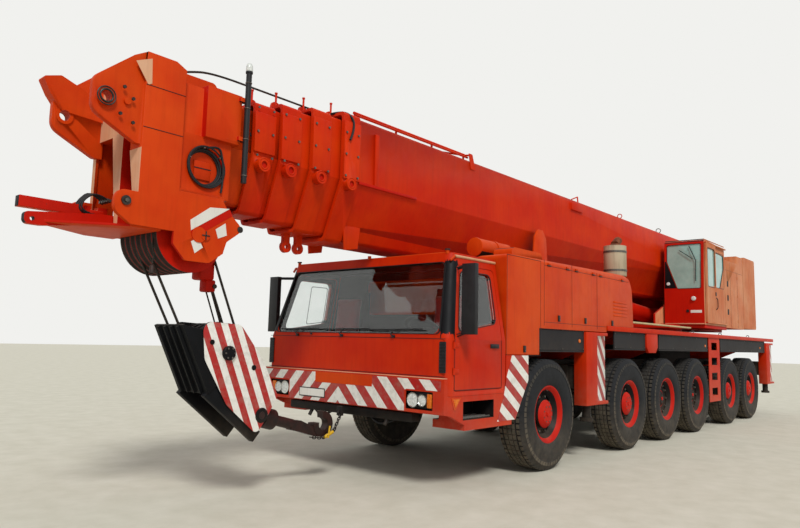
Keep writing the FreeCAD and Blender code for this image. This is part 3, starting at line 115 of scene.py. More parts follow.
def plate(outline, push, corner=0.0, edge=0.0):
    """A plate from its outline of corners, pushed to its thickness."""
    part = bmesh.new()
    face = part.faces.new([part.verts.new(point) for point in outline])
    if corner > 0.0:
        bmesh.ops.bevel(part, geom=face.verts[:], offset=corner, offset_type="OFFSET", segments=5,
                        profile=0.5, affect="VERTICES", clamp_overlap=True, material=-1)
    made = bmesh.ops.extrude_face_region(part, geom=part.faces[:])
    moved = [v for v in made["geom"] if isinstance(v, bmesh.types.BMVert)]
    bmesh.ops.translate(part, vec=Vector(push), verts=moved)
    bmesh.ops.recalc_face_normals(part, faces=part.faces)
    return eased(part, edge, 1)


def side_plate(outline, y0, y1, corner=0.0, edge=0.0):
    """Plate with an (x, z) outline, as thick as y0 to y1."""
    return plate([(x, y0, z) for x, z in outline], (0.0, y1 - y0, 0.0), corner, edge)


def cross_plate(outline, x0, x1, corner=0.0, edge=0.0):
    """Plate with a (y, z) outline, as thick as x0 to x1."""
    return plate([(x0, y, z) for y, z in outline], (x1 - x0, 0.0, 0.0), corner, edge)


def bar(start, end, radius, sides=14, end_radius=None):
    """A round bar, or a tapered one."""
    part = bmesh.new()
    start, end = Vector(start), Vector(end)
    along = end - start
    turn = along.to_track_quat("Z", "Y").to_matrix().to_4x4()
    bmesh.ops.create_cone(part, cap_ends=True, segments=sides, radius1=radius,
                          radius2=radius if end_radius is None else end_radius, depth=along.length,
                          matrix=Matrix.Translation((start + end) / 2.0) @ turn)
    return part


def turned(profile, centre, direction, steps=32, closed=False):
    """A turned part: (along, radius) points spun about an axis through centre."""
    part = bmesh.new()
    line = [part.verts.new((along, radius, 0.0)) for along, radius in profile]
    edges = [part.edges.new(pair) for pair in zip(line[:-1], line[1:])]
    if closed:
        edges.append(part.edges.new((line[-1], line[0])))
    bmesh.ops.spin(part, geom=line + edges, cent=origin, axis=ahead,
                   angle=2.0 * math.pi, steps=steps, use_merge=True)
    bmesh.ops.remove_doubles(part, verts=part.verts, dist=0.01)
    bmesh.ops.recalc_face_normals(part, faces=part.faces)
    turn = Vector(direction).to_track_quat("X", "Z").to_matrix().to_4x4()
    bmesh.ops.transform(part, matrix=Matrix.Translation(centre) @ turn, verts=part.verts)
    return part


def hoop(centre, direction, radius, wire, steps=28, sides=8):
    """A ring of round wire about an axis."""
    profile = [(wire * math.sin(2.0 * math.pi * i / sides), radius + wire * math.cos(2.0 * math.pi * i / sides))
               for i in range(sides)]
    return turned(profile, centre, direction, steps, closed=True)


def hose(points, radius, sides=2):
    """A hose or bent rod on one smooth line through its control points."""
    curve = bpy.data.curves.new("hose", "CURVE")
    curve.dimensions = "3D"
    curve.bevel_depth = radius
    curve.bevel_resolution = sides
    curve.use_fill_caps = True
    line = curve.splines.new("NURBS")
    line.points.add(len(points) - 1)
    for knot, point in zip(line.points, points):
        knot.co = (*point, 1.0)
    line.use_endpoint_u = True
    line.order_u = 3
    line.resolution_u = 5
    holder = bpy.data.objects.new("hose", curve)
    mesh = bpy.data.meshes.new_from_object(holder)
    part = bmesh.new()
    part.from_mesh(mesh)
    bpy.data.objects.remove(holder)
    bpy.data.curves.remove(curve)
    bpy.data.meshes.remove(mesh)
    bmesh.ops.remove_doubles(part, verts=part.verts, dist=0.01)
    bmesh.ops.recalc_face_normals(part, faces=part.faces)
    return part


def surround(outline, corner, inner, outer, thick):
    """A strip round a window in its own plane: u, v along the plane and w outwards."""
    part = bmesh.new()
    face = part.faces.new([part.verts.new((u, v, 0.0)) for u, v in outline])
    bmesh.ops.bevel(part, geom=face.verts[:], offset=corner, offset_type="OFFSET", segments=6, profile=0.5,
                    affect="VERTICES", clamp_overlap=True, material=-1)
    hole = part.faces[:]
    ring = bmesh.ops.inset_region(part, faces=hole, thickness=inner, use_even_offset=True)["faces"]
    wide = bmesh.ops.extrude_edge_only(part, edges=[e for e in part.edges if e.is_boundary])
    rim = [v for v in wide["geom"] if isinstance(v, bmesh.types.BMVert)]
    middle = sum((v.co for v in rim), Vector()) / len(rim)
    span = max((v.co - middle).length for v in rim)
    bmesh.ops.scale(part, vec=Vector((1.0, 1.0, 1.0)) * (1.0 + outer / span),
                    space=Matrix.Translation(-middle), verts=rim)
    bmesh.ops.delete(part, geom=hole, context="FACES_ONLY")
    made = bmesh.ops.extrude_face_region(part, geom=part.faces[:])
    top = [v for v in made["geom"] if isinstance(v, bmesh.types.BMVert)]
    bmesh.ops.translate(part, vec=(0.0, 0.0, thick), verts=top)
    bmesh.ops.recalc_face_normals(part, faces=part.faces)
    return part


def laid(part, matrix):
    """The part brought from its own plane to its place; a mirrored one is turned right side out."""
    bmesh.ops.transform(part, matrix=matrix, verts=part.verts)
    if matrix.determinant() < 0.0:
        bmesh.ops.reverse_faces(part, faces=part.faces)
    return part


def plane(x, y, z, u, v, w):
    """The matrix that takes (u, v, w) to a place and three directions."""
    return Matrix.Translation((x, y, z)) @ Matrix((
        (u[0], v[0], w[0]), (u[1], v[1], w[1]), (u[2], v[2], w[2]))).to_4x4()


def rectangle(u0, v0, u1, v1):
    return [(u0, v0), (u1, v0), (u1, v1), (u0, v1)]


def window_strip(outline, corner, inner, outer, thick, wall, sunk=3.0):
    """A strip round a window, laid on the plane of its wall and let into it a little."""
    return laid(surround(outline, corner, inner, outer, thick), wall @ Matrix.Translation((0.0, 0.0, -sunk)))


def placed_object(name, data):
    """A new object in the scene."""
    thing = bpy.data.objects.new(name, data)
    bpy.context.scene.collection.objects.link(thing)
    return thing


def around(count, reach, first=0.0):
    """Places evenly spaced on a circle, as pairs of distances from its centre."""
    turns = [2.0 * math.pi * (number + first) / count for number in range(count)]
    return [(reach * math.cos(turn), reach * math.sin(turn)) for turn in turns]


def seam(line, y, half):
    """A thin dark line let into a side wall, from one (x, z) place to another."""
    (x0, z0), (x1, z1) = line
    return block((min(x0, x1) - half, y - 1.5, min(z0, z1) - half), (max(x0, x1) + half, y + 1.5, max(z0, z1) + half))


class Piece:
    """One piece in the making: a mesh whose faces take their finishes."""

    def __init__(self):
        self.shape = bmesh.new()
        self.finishes = []

    def place_of(self, finish):
        if finish not in self.finishes:
            self.finishes.append(finish)
        return self.finishes.index(finish)

    def put(self, part, finish):
        """Adds a part in one finish, or in the finish that a rule gives for each face."""
        for face in part.faces:
            chosen = finish(face.calc_center_median(), face.normal) if callable(finish) else finish
            face.material_index = self.place_of(chosen)
        mesh = bpy.data.meshes.new("part")
        part.to_mesh(mesh)
        part.free()
        self.shape.from_mesh(mesh)
        bpy.data.meshes.remove(mesh)

    def done(self, name, body, replaces=()):
        """Brings the piece to the frame as an object that rides on its body."""
        bmesh.ops.transform(self.shape, matrix=to_frame, verts=self.shape.verts)
        for face in self.shape.faces:
            face.smooth = True
        mesh = bpy.data.meshes.new(name)
        self.shape.to_mesh(mesh)
        self.shape.free()
        mesh.set_sharp_from_angle(angle=math.radians(35.0))
        for finish in self.finishes:
            mesh.materials.append(finish)
        thing = placed_object(name, mesh)
        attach(thing, body)
        if replaces:
            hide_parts(*replaces)
        return thing


def islands(shape):
    """The separate solids of a mesh, each as its faces with its low and high corner."""
    waiting = set(shape.faces)
    found = []
    while waiting:
        front = [waiting.pop()]
        faces = []
        while front:
            face = front.pop()
            faces.append(face)
            for edge in face.edges:
                for other in edge.link_faces:
                    if other in waiting:
                        waiting.remove(other)
                        front.append(other)
        corners = [v.co for face in faces for v in face.verts]
        low = Vector([min(c[i] for c in corners) for i in range(3)])
        high = Vector([max(c[i] for c in corners) for i in range(3)])
        found.append((faces, low, high))
    return found


def dressed(node, finish_of, edge=5.0):
    """A worked copy of a CAD node: its triangles merged to whole faces, each with its finish,
    and the long sharp edges eased. finish_of takes a face's middle, its normal and its solid's corners."""
    piece = Piece()
    shape = piece.shape
    shape.from_mesh(nodes[node].data)
    bmesh.ops.transform(shape, matrix=to_drawing, verts=shape.verts)
    bmesh.ops.remove_doubles(shape, verts=shape.verts, dist=0.05)
    bmesh.ops.dissolve_limit(shape, angle_limit=math.radians(0.6), verts=shape.verts, edges=shape.edges)
    for faces, low, high in islands(shape):
        for face in faces:
            face.material_index = piece.place_of(
                finish_of(face.calc_center_median(), face.normal, low, high))
    if edge > 0.0:
        reach = 3.0 * edge
        roomy = {v for v in shape.verts if all(e.calc_length() > reach for e in v.link_edges)}
        sharp = [e for e in shape.edges if e.is_manifold and e.calc_face_angle() > 0.5
                 and e.verts[0] in roomy and e.verts[1] in roomy]
        bmesh.ops.bevel(shape, geom=sharp, offset=edge, offset_type="OFFSET", segments=2, profile=0.5,
                        affect="EDGES", clamp_overlap=False, material=-1)
    return piece.done(node + "_finished", body_of[node], (node,))


# Colours and the small tools that materials share
def hex_colour(code):
    """Linear colour of an sRGB hex value."""
    parts = [int(code[i:i + 2], 16) / 255.0 for i in (1, 3, 5)]
    line = [c / 12.92 if c <= 0.04045 else ((c + 0.055) / 1.055) ** 2.4 for c in parts]
    return (line[0], line[1], line[2], 1.0)


def add(tree, kind, settings=None, links=None):
    """One node with its settings and links."""
    made = tree.nodes.new(kind)
    for key, value in (settings or {}).items():
        if isinstance(key, int) or key in made.inputs:
            made.inputs[key].default_value = value
        else:
            setattr(made, key, value)
    for key, socket in (links or {}).items():
        tree.links.new(socket, made.inputs[key])
    return made


def new_material(name):
    """An empty material: its tree, its shader and the object coordinates."""
    material = bpy.data.materials.new(name)
    material.use_nodes = True
    tree = material.node_tree
    shader = tree.nodes["Principled BSDF"]
    place = add(tree, "ShaderNodeTexCoord").outputs["Object"]
    return material, tree, shader, place


def ramp(tree, source, stops):
    """A colour ramp over a value, from (position, colour) stops."""
    made = add(tree, "ShaderNodeValToRGB", links={"Fac": source})
    line = made.color_ramp
    line.elements[0].position, line.elements[0].color = stops[0]
    line.elements[1].position, line.elements[1].color = stops[-1]
    for position, colour in stops[1:-1]:
        extra = line.elements.new(position)
        extra.color = colour
    return made.outputs["Color"]


def grey(value):
    return (value, value, value, 1.0)


def noise(tree, place, spot_mm, detail=4.0, stretch=(1.0, 1.0, 1.0)):
    """Cloudy pattern with spots of about that size in millimetres."""
    mapped = add(tree, "ShaderNodeMapping", {"Scale": stretch}, {"Vector": place}).outputs["Vector"]
    return add(tree, "ShaderNodeTexNoise", {"Scale": 1000.0 / spot_mm, "Detail": detail, "Roughness": 0.6},
               {"Vector": mapped}).outputs["Fac"]


def mixed(tree, share, first, second, blend="MIX"):
    """Two colours mixed by a share; either may be a hex value."""
    settings = {"data_type": "RGBA", "blend_type": blend}
    links = {0: share}
    for socket, colour in ((6, first), (7, second)):
        if isinstance(colour, str):
            settings[socket] = hex_colour(colour)
        else:
            links[socket] = colour
    return add(tree, "ShaderNodeMix", settings, links).outputs[2]


def stretched(tree, source, low, high, to_low, to_high):
    """A value stretched from one span to another."""
    return add(tree, "ShaderNodeMapRange", {"From Min": low, "From Max": high, "To Min": to_low, "To Max": to_high},
               {"Value": source}).outputs["Result"]


def dust_and_top_sheen(tree, place, coat, dust, top_m, amount, top_dust_and_sheen_amount):
    """Road dust: thrown up from the wheels to top_m; upward faces paler with dust that is also painted sheen on the
    tops.
    """
    height = add(tree, "ShaderNodeSeparateXYZ", links={"Vector": place}).outputs["Z"]
    low = stretched(tree, height, top_m, 0.3, 0.0, amount)
    normal = add(tree, "ShaderNodeTexCoord").outputs["Normal"]
    facing = add(tree, "ShaderNodeSeparateXYZ", links={"Vector": normal}).outputs["Z"]
    # Upward faces paler: partly dust, partly painted sheen on the tops
    top_dust_and_sheen = stretched(tree, facing, 0.6, 1.0, 0.0, top_dust_and_sheen_amount)
    total = add(tree, "ShaderNodeMath", {"operation": "MAXIMUM"}, {0: low, 1: top_dust_and_sheen}).outputs[0]
    spots = stretched(tree, noise(tree, place, 110.0, 6.0), 0.3, 0.7, 0.25, 1.0)
    share = add(tree, "ShaderNodeMath", {"operation": "MULTIPLY", "use_clamp": True},
                {0: total, 1: spots}).outputs[0]
    return mixed(tree, share, coat, dust)


def bumped(tree, shader, height, strength, depth_m):
    bump = add(tree, "ShaderNodeBump", {"Strength": strength, "Distance": depth_m}, {"Height": height})
    tree.links.new(bump.outputs["Normal"], shader.inputs["Normal"])


def roughened(tree, shader, source, low, high):
    tree.links.new(stretched(tree, source, 0.0, 1.0, low, high), shader.inputs["Roughness"])


def painted_steel(name, paint, faded, dust_top=0.31, dust_amount=0.0, streak=0.12, gloss=0.42, top_dust_and_sheen=0.3):
    """Sprayed alkyd enamel on steel plate: an even gloss coat with slight orange peel, faded in
    blotches about 0.6 m across, with rain streaks, stone chips, road dust, and tops paler with dust and painted
    sheen."""
    material, tree, shader, place = new_material(name)
    coat = ramp(tree, noise(tree, place, 620.0, 3.0),
                [(0.35, hex_colour(paint)), (0.68, hex_colour(faded))])
    # Rain streaks about 45 mm apart and ten times as long
    lines = noise(tree, place, 45.0, 4.0, (1.0, 1.0, 0.09))
    streak_share = ramp(tree, lines, [(0.48, grey(0.0)), (0.75, grey(streak))])
    coat = mixed(tree, streak_share, coat, "#6e2a1c", "MULTIPLY")
    # Chips down to the grey primer, 8 mm across and sparse
    chip_share = ramp(tree, noise(tree, place, 26.0, 8.0), [(0.7, grey(0.0)), (0.74, grey(0.5))])
    coat = mixed(tree, chip_share, coat, "#5a3a30")
    colour = dust_and_top_sheen(tree, place, coat, "#a8927a", dust_top, dust_amount, top_dust_and_sheen)
    tree.links.new(colour, shader.inputs["Base Color"])
    roughened(tree, shader, noise(tree, place, 110.0, 6.0), gloss, gloss + 0.2)
    # Orange peel is about 2 mm across; drawn at 9 mm so that it shows
    bumped(tree, shader, noise(tree, place, 9.0, 2.0), 0.05, 0.002)
    shader.inputs["Specular IOR Level"].default_value = 0.12
    return material


def plain_finish(name, dark, light, spot_mm, rough, metal=0.0, grain_mm=4.0, depth=0.08,
                 dust_top=0.31, dust_amount=0.0):
    """A mottled surface of one stuff: two tones, a fine grain in the gloss and the relief, and dust."""
    material, tree, shader, place = new_material(name)
    coat = ramp(tree, noise(tree, place, spot_mm, 5.0), [(0.32, hex_colour(dark)), (0.7, hex_colour(light))])
    if dust_amount > 0.0:
        coat = dust_and_top_sheen(tree, place, coat, "#a8977c", dust_top, dust_amount, 0.0)
    tree.links.new(coat, shader.inputs["Base Color"])
    shader.inputs["Metallic"].default_value = metal
    grain = noise(tree, place, grain_mm, 3.0)
    roughened(tree, shader, grain, max(rough - 0.1, 0.02), rough + 0.1)
    bumped(tree, shader, grain, depth, 0.002)
    if not metal:
        shader.inputs["Specular IOR Level"].default_value = 0.3
    return material


def stripe_film(name, along, pitch_mm, shift, fold_y=None):
    """Red and white warning film stuck on the paint: crisp stripes square to a direction, slightly soiled.
    A folded film forms chevrons about a line at that y."""
    material, tree, shader, place = new_material(name)
    place_used = place
    if fold_y is not None:
        parts = add(tree, "ShaderNodeSeparateXYZ", links={"Vector": place})
        offset = add(tree, "ShaderNodeMath", {"operation": "SUBTRACT", 1: fold_y / 1000.0}, {0: parts.outputs["Y"]})
        outwards = add(tree, "ShaderNodeMath", {"operation": "ABSOLUTE"}, {0: offset.outputs[0]})
        place_used = add(tree, "ShaderNodeCombineXYZ", links={
            "X": parts.outputs["X"], "Y": outwards.outputs[0], "Z": parts.outputs["Z"]}).outputs["Vector"]
    scaled = [c * 1000.0 / pitch_mm for c in along]
    run = add(tree, "ShaderNodeVectorMath", {"operation": "DOT_PRODUCT", 1: scaled},
              {0: place_used}).outputs["Value"]
    moved = add(tree, "ShaderNodeMath", {"operation": "ADD", 1: shift}, {0: run}).outputs[0]
    part = add(tree, "ShaderNodeMath", {"operation": "FRACT"}, {0: moved}).outputs[0]
    band = add(tree, "ShaderNodeMath", {"operation": "GREATER_THAN", 1: 0.5}, {0: part}).outputs[0]
    colour = mixed(tree, band, "#e6e3da", "#a81410")
    soil = ramp(tree, noise(tree, place, 60.0, 6.0), [(0.45, grey(0.0)), (0.8, grey(0.45))])
    tree.links.new(mixed(tree, soil, colour, "#8c8474"), shader.inputs["Base Color"])
    roughened(tree, shader, soil, 0.3, 0.6)
    return material


def window_glass(name, tint, faded, rough, seen_through, mirror):
    """Toughened float glass, body-tinted: dark room behind, and the sky mirrored in its skin."""
    material, tree, shader, place = new_material(name)
    film = ramp(tree, noise(tree, place, 240.0, 5.0), [(0.3, hex_colour(tint)), (0.75, hex_colour(faded))])
    tree.links.new(film, shader.inputs["Base Color"])
    shader.inputs["Transmission Weight"].default_value = seen_through
    shader.inputs["IOR"].default_value = 1.52
    shader.inputs["Specular IOR Level"].default_value = 0.28
    shader.inputs["Coat Weight"].default_value = mirror
    shader.inputs["Coat IOR"].default_value = 1.8
    shader.inputs["Coat Roughness"].default_value = 0.02
    roughened(tree, shader, noise(tree, place, 160.0, 4.0), rough, rough + 0.01)
    return material


def tread_plate(name, dark, light, dust, amount):
    """Rolled tread plate: rows of raised lozenges 30 mm apart, bright where boots have worn them."""
    material, tree, shader, place = new_material(name)
    turn = add(tree, "ShaderNodeMapping", {"Rotation": (0.0, 0.0, math.radians(45.0))},
               {"Vector": place}).outputs["Vector"]
    lozenge = add(tree, "ShaderNodeTexVoronoi", {"Scale": 1000.0 / 34.0, "Randomness": 0.0},
                  {"Vector": turn}).outputs["Distance"]
    raised = ramp(tree, lozenge, [(0.28, grey(1.0)), (0.42, grey(0.0))])
    coat = mixed(tree, raised, dark, light)
    # Only upward faces take the pale: dust, and painted sheen on the tops
    colour = dust_and_top_sheen(tree, place, coat, dust, 0.31, 0.0, amount)
    tree.links.new(colour, shader.inputs["Base Color"])
    roughened(tree, shader, noise(tree, place, 40.0), 0.45, 0.75)
    bumped(tree, shader, raised, 0.5, 0.004)
    return material


def woven_fabric(name, dark, light):
    """Seat cloth: a plain weave of 3 mm yarns, drawn at 8 mm so that it shows, soft and matt."""
    material, tree, shader, place = new_material(name)
    warp, weft = [add(tree, "ShaderNodeTexWave", {"Scale": 1000.0 / 8.0 / 6.283, "Distortion": 1.5,
                                                  "bands_direction": way}, {"Vector": place}).outputs["Fac"]
                  for way in "YZ"]
    weave = add(tree, "ShaderNodeMath", {"operation": "MULTIPLY"}, {0: warp, 1: weft}).outputs[0]
    shade = add(tree, "ShaderNodeMath", {"operation": "ADD"},
                {0: weave, 1: noise(tree, place, 90.0)}).outputs[0]
    tree.links.new(ramp(tree, shade, [(0.3, hex_colour(dark)), (1.0, hex_colour(light))]),
                   shader.inputs["Base Color"])
    shader.inputs["Roughness"].default_value = 0.9
    shader.inputs["Sheen Weight"].default_value = 0.3
    bumped(tree, shader, weave, 0.3, 0.001)
    return material


# Paint of the carrier, the boom and the upper, from new orange-red to sun-faded
vermilion = painted_steel("vermilion_enamel", "#b91f00", "#c52e02", dust_top=1.3, dust_amount=0.3)
hood_orange = painted_steel("hood_enamel", "#c63602", "#d2480a", dust_top=1.3, dust_amount=0.3, top_dust_and_sheen=0.22)
boom_red = painted_steel("boom_enamel", "#c42200", "#cf3400")
head_orange = painted_steel("head_enamel", "#c43202", "#d04408")
cab_deep_red = painted_steel("deep_red_enamel", "#b81202", "#c21c04")
rim_red = painted_steel("rim_enamel", "#b0160c", "#bd2412", streak=0.0)
upper_faded = painted_steel("upper_enamel", "#c16a3e", "#cc8a62", streak=0.3, gloss=0.45)
cream = painted_steel("cream_enamel", "#cf8f68", "#dcae8c", streak=0.15)
silencer_coat = painted_steel("silencer_enamel", "#a99a80", "#bdb094", streak=0.35, gloss=0.55)
white_coat = painted_steel("white_enamel", "#d9d5cb", "#e6e3da", streak=0.1)
yellow_coat = painted_steel("yellow_enamel", "#c89a1e", "#d8ae34")
charcoal = painted_steel("charcoal_enamel", "#17181c", "#222327", dust_top=1.9, dust_amount=0.25,
                         streak=0.1, gloss=0.5)
black_coat = painted_steel("black_enamel", "#0a0b0d", "#131417", dust_top=0.9, dust_amount=0.2,
                           streak=0.05, gloss=0.4, top_dust_and_sheen=0.15)
chassis_coat = painted_steel("chassis_enamel", "#1c1a1b", "#2a2526", dust_top=1.5, dust_amount=0.5,
                             streak=0.1, gloss=0.6)

# Vulcanised natural rubber, moulded: near black and matt, with pale dust in the tread
tyre_rubber = plain_finish("tyre_rubber", "#101114", "#1c1d20", 70.0, 0.78, grain_mm=5.0, depth=0.15,
                           dust_top=0.75, dust_amount=0.14)
tread_rubber = plain_finish("tread_rubber", "#1d1d1e", "#3a3834", 38.0, 0.85, grain_mm=6.0, depth=0.25,
                            dust_top=1.35, dust_amount=0.3)
# Extruded EPDM profile: black with a dull sheen
seal_rubber = plain_finish("seal_rubber", "#0c0c0d", "#17171a", 60.0, 0.55, grain_mm=3.0, depth=0.05)
# Hydraulic hose: wrapped synthetic rubber with a faint cloth mark
hose_rubber = plain_finish("hose_rubber", "#101012", "#1d1c1e", 18.0, 0.6, grain_mm=3.0, depth=0.2)
# Injection-moulded ABS: black, fine spark-eroded grain
black_plastic = plain_finish("moulded_plastic", "#131315", "#1e1e21", 90.0, 0.48, grain_mm=2.0, depth=0.12)
# Sand-cast grey iron under thin dark paint: rough skin, brown in places
cast_iron = plain_finish("cast_iron", "#1d1512", "#3a2219", 90.0, 0.62, metal=0.2, grain_mm=7.0, depth=0.35,
                         dust_top=1.0, dust_amount=0.3)
hook_iron = plain_finish("forged_iron", "#1c100e", "#371a15", 70.0, 0.5, metal=0.25, grain_mm=9.0, depth=0.3)
# Hard-chromed steel rod: mirror smooth with a trace of oil
chrome = plain_finish("hard_chrome", "#b9bcc0", "#d5d7da", 200.0, 0.16, metal=1.0, grain_mm=30.0, depth=0.01)
# Machined steel: pins and bores, oiled and darkened
pin_steel = plain_finish("oiled_steel", "#2b2725", "#4a4440", 30.0, 0.42, metal=0.8, grain_mm=5.0, depth=0.08)
# Zinc-plated fasteners gone dull
bolt_steel = plain_finish("zinc_plated_steel", "#4d4a46", "#77726a", 18.0, 0.5, metal=0.7, grain_mm=3.0)
# Hot-rolled steel pipe, rusted by heat
rust = plain_finish("heat_rusted_steel", "#4a2412", "#8a4a24", 45.0, 0.85, metal=0.1, grain_mm=6.0, depth=0.4)
# Drawn steel wire rope, greased: dark with bright crowns
wire_rope = plain_finish("greased_wire_rope", "#1a1614", "#3d342c", 14.0, 0.5, metal=0.5, grain_mm=6.0, depth=0.6)
# Sawn spruce planks, weathered grey-yellow
plank_wood = plain_finish("weathered_spruce", "#b09a70", "#d2c096", 30.0, 0.85, grain_mm=8.0, depth=0.3)
# Trim panels of the two cabs: vinyl over fibreboard
lining = plain_finish("cab_vinyl", "#0f1013", "#1b1c1f", 120.0, 0.7, grain_mm=3.0, depth=0.2)
# Slide pads: cast polyamide, off-white gone grey
nylon = plain_finish("cast_polyamide", "#2c2a28", "#46423c", 60.0, 0.55, grain_mm=5.0)
mirror_silver = plain_finish("silvered_glass", "#8f9598", "#b7bdc0", 200.0, 0.06, metal=1.0, grain_mm=60.0, depth=0.0)
lamp_reflector = plain_finish("aluminised_reflector", "#b8bab8", "#e4e4e0", 24.0, 0.2, metal=0.9, grain_mm=12.0,
                              depth=0.3)
amber_lens = plain_finish("amber_acrylic", "#c9560a", "#e8801c", 26.0, 0.22, grain_mm=8.0, depth=0.3)
red_lens = plain_finish("red_acrylic", "#7c0a0a", "#a81414", 26.0, 0.22, grain_mm=8.0, depth=0.3)
clear_lens = plain_finish("fluted_glass", "#b9bdb8", "#eceee8", 22.0, 0.15, grain_mm=14.0, depth=0.5)
screen_glass = window_glass("windscreen_glass", "#f2f6f4", "#f8faf9", 0.0, 1.0, 0.0)
# The crane cab's glass lets little through: its pale teal is body tint with painted reflection of the sky
teal_glass = window_glass("teal_glass", "#86b0a6", "#a4cabf", 0.04, 0.12, 0.6)
deck_plate = tread_plate("deck_tread_plate", "#8c2a12", "#a85a3a", "#a89a80", 0.75)
step_plate = tread_plate("step_tread_plate", "#55534f", "#8b8880", "#8d8474", 0.4)
red_cloth = woven_fabric("red_seat_cloth", "#6e0f12", "#98191a")
grey_cloth = woven_fabric("grey_seat_cloth", "#26272b", "#3c3d42")
chevrons = stripe_film("bumper_chevron_film", (0.0, 1.0, 0.95), 300.0, 0.28, fold_y=-70.0)
arch_film = stripe_film("arch_band_film", (-0.72, 0.0, 1.0), 238.0, 0.2)
leg_film = stripe_film("leg_band_film", (-1.5, 0.0, 1.0), 282.0, 0.1)
cheek_film = stripe_film("cheek_band_film", (0.922, 0.0, -0.388), 141.0, 0.05)


# Drawn nodes: one finish each, by the longest start that fits the name
one_finish = {
    "front_bumper": vermilion, "deck": vermilion, "side_skirts": charcoal, "chassis_frame": chassis_coat,
    "axle_beams": chassis_coat, "knuckle": cast_iron, "outrigger_beam": vermilion, "outrigger_jack": black_coat,
    "slew_ring": cast_iron, "counterweight": upper_faded, "superstructure": upper_faded,
    "hoist_winch": chassis_coat, "crane_cab": upper_faded, "crane_cab_seat": black_plastic,
    "crane_cab_glass": teal_glass, "carrier_cab": vermilion, "carrier_cab_glass": screen_glass,
    "carrier_cab_interior": lining, "carrier_door": vermilion, "carrier_lamps": clear_lens,
    "engine_exhaust": silencer_coat, "engine_housing": hood_orange, "boom_base": boom_red,
    "boom_section": boom_red, "boom_head": head_orange, "head_sheaves": cast_iron,
    "luffing_barrel": cab_deep_red, "luffing_rod": chrome, "hook_block": black_coat, "load_hook": hook_iron,
    "hoist_ropes": wire_rope, "wheel": tyre_rubber,
}
for name, thing in nodes.items():
    longest = max((start for start in one_finish if name.startswith(start)), key=len)
    thing.data.materials.clear()
    thing.data.materials.append(one_finish[longest])


# Nodes that carry several finishes: each rule takes a face's middle, its normal and its solid's
# low and high corner, all in drawing millimetres
def housing_finish(middle, normal, low, high):
    if middle.z > 2695.0 and middle.y > 1180.0 and normal.z > 0.7 and 2700.0 < middle.x < 3480.0:
        return black_plastic
    if abs(middle.y) < 565.0 and middle.z > 2520.0 and middle.x < 1500.0:
        return nylon if abs(middle.y) > 530.0 else hood_orange
    if middle.z < sill_z or (abs(middle.y) < 1300.0 and normal.z < -0.5):
        return chassis_coat
    return hood_orange


def exhaust_finish(middle, normal, low, high):
    if high.z < 2660.0:
        return cast_iron
    return rust if middle.z > silencer_top else silencer_coat


def cab_finish(middle, normal, low, high):
    if abs(middle.y) > 1230.0 and 1640.0 < middle.z < 2440.0 and middle.x > screen_x(middle.z) - 260.0:
        return black_coat
    inside = 3640.0 < middle.x < 4680.0 and abs(middle.y) < 1425.0 and 1010.0 < middle.z < 2480.0
    if normal.x > 0.5 and middle.x > screen_x(middle.z) - 30.0:
        return vermilion
    towards_room = normal.y * middle.y < 0.0 or abs(normal.y) < 0.5
    if inside and towards_room and (abs(middle.y) < 1300.0 or abs(normal.y) > 0.5):
        return lining
    return chassis_coat if normal.z < -0.9 and middle.z < 1100.0 else vermilion


def door_finish(middle, normal, low, high):
    if high.z > 2300.0 and high.x - low.x < 780.0 and high.y - low.y < 120.0 and low.z > 1600.0:
        return screen_glass
    if abs(middle.y) > 1490.0 or low.x > 4450.0:
        return black_plastic
    return lining if normal.y * middle.y < 0.0 and middle.x < 4590.0 else vermilion


def crane_cab_finish(middle, normal, low, high):
    inside = -5300.0 < middle.x < -3950.0 and 640.0 < middle.y < 1375.0 and 2080.0 < middle.z < 3760.0
    outward = (normal.y > 0.5 and middle.y > 1300.0) or (normal.x > 0.5 and middle.x > -3960.0)
    if inside and not outward:
        return lining
    return cab_deep_red if normal.x > 0.5 else upper_faded


def crane_door_finish(middle, normal, low, high):
    if low.z > 2750.0 and high.y - low.y < 30.0:
        return teal_glass
    return lining if normal.y < -0.5 else upper_faded


def head_finish(middle, normal, low, high):
    x, y, z = middle
    if normal.x > 0.7 and 7560.0 < x < 7640.0 and z > 2500.0 and y < 180.0:
        return cream
    if x > 8200.0 and normal.x > 0.5:
        return black_coat
    if math.hypot(x - mast_lamp[0], y - mast_lamp[1]) < 45.0:
        return black_plastic
    if normal.z < -0.8 and z < 2460.0:
        return head_orange
    # Faces inside the fork, the middle plate and forward faces set back behind the front flanges are deep red as
    # painted shade in the head's recesses
    inside = -300.0 < y < 300.0 and x > 7230.0 and abs(normal.y) > 0.5
    if inside or (abs(y) < 120.0 and x < 7560.0) or (normal.x > 0.5 and x < 7560.0):
        return cab_deep_red
    if math.hypot(x - roller[0], z - roller[1]) < 75.0:
        return black_coat
    return head_orange


def sheave_finish(middle, normal, low, high):
    is_web = abs(normal.y) > 0.9 and math.hypot(middle.x - 7020.0, middle.z - 2440.0) < 320.0
    return cab_deep_red if is_web else cast_iron


def boom_finish(middle, normal, low, high):
    thin, wide = sorted((high.y - low.y, high.z - low.z))
    is_slide_pad = high.x - low.x < 260.0 and wide < 700.0 and thin < 60.0
    return nylon if is_slide_pad else boom_red


def block_finish(middle, normal, low, high):
    # The film goes round the sheave pin's end, which lies flush with the cheek
    off_pin = math.hypot(middle.x - sheave_pin[0], middle.z - sheave_pin[1])
    return cheek_film if abs(middle.y) > 267.0 and abs(normal.y) > 0.9 and off_pin > 2.0 else black_coat


def deck_finish(middle, normal, low, high):
    if normal.z > 0.8 and middle.z > 1840.0 and abs(middle.y) < 1412.0:
        return deck_plate
    if normal.z < -0.8 and middle.z < 1860.0 and abs(middle.y) < 1400.0:
        return chassis_coat
    return vermilion


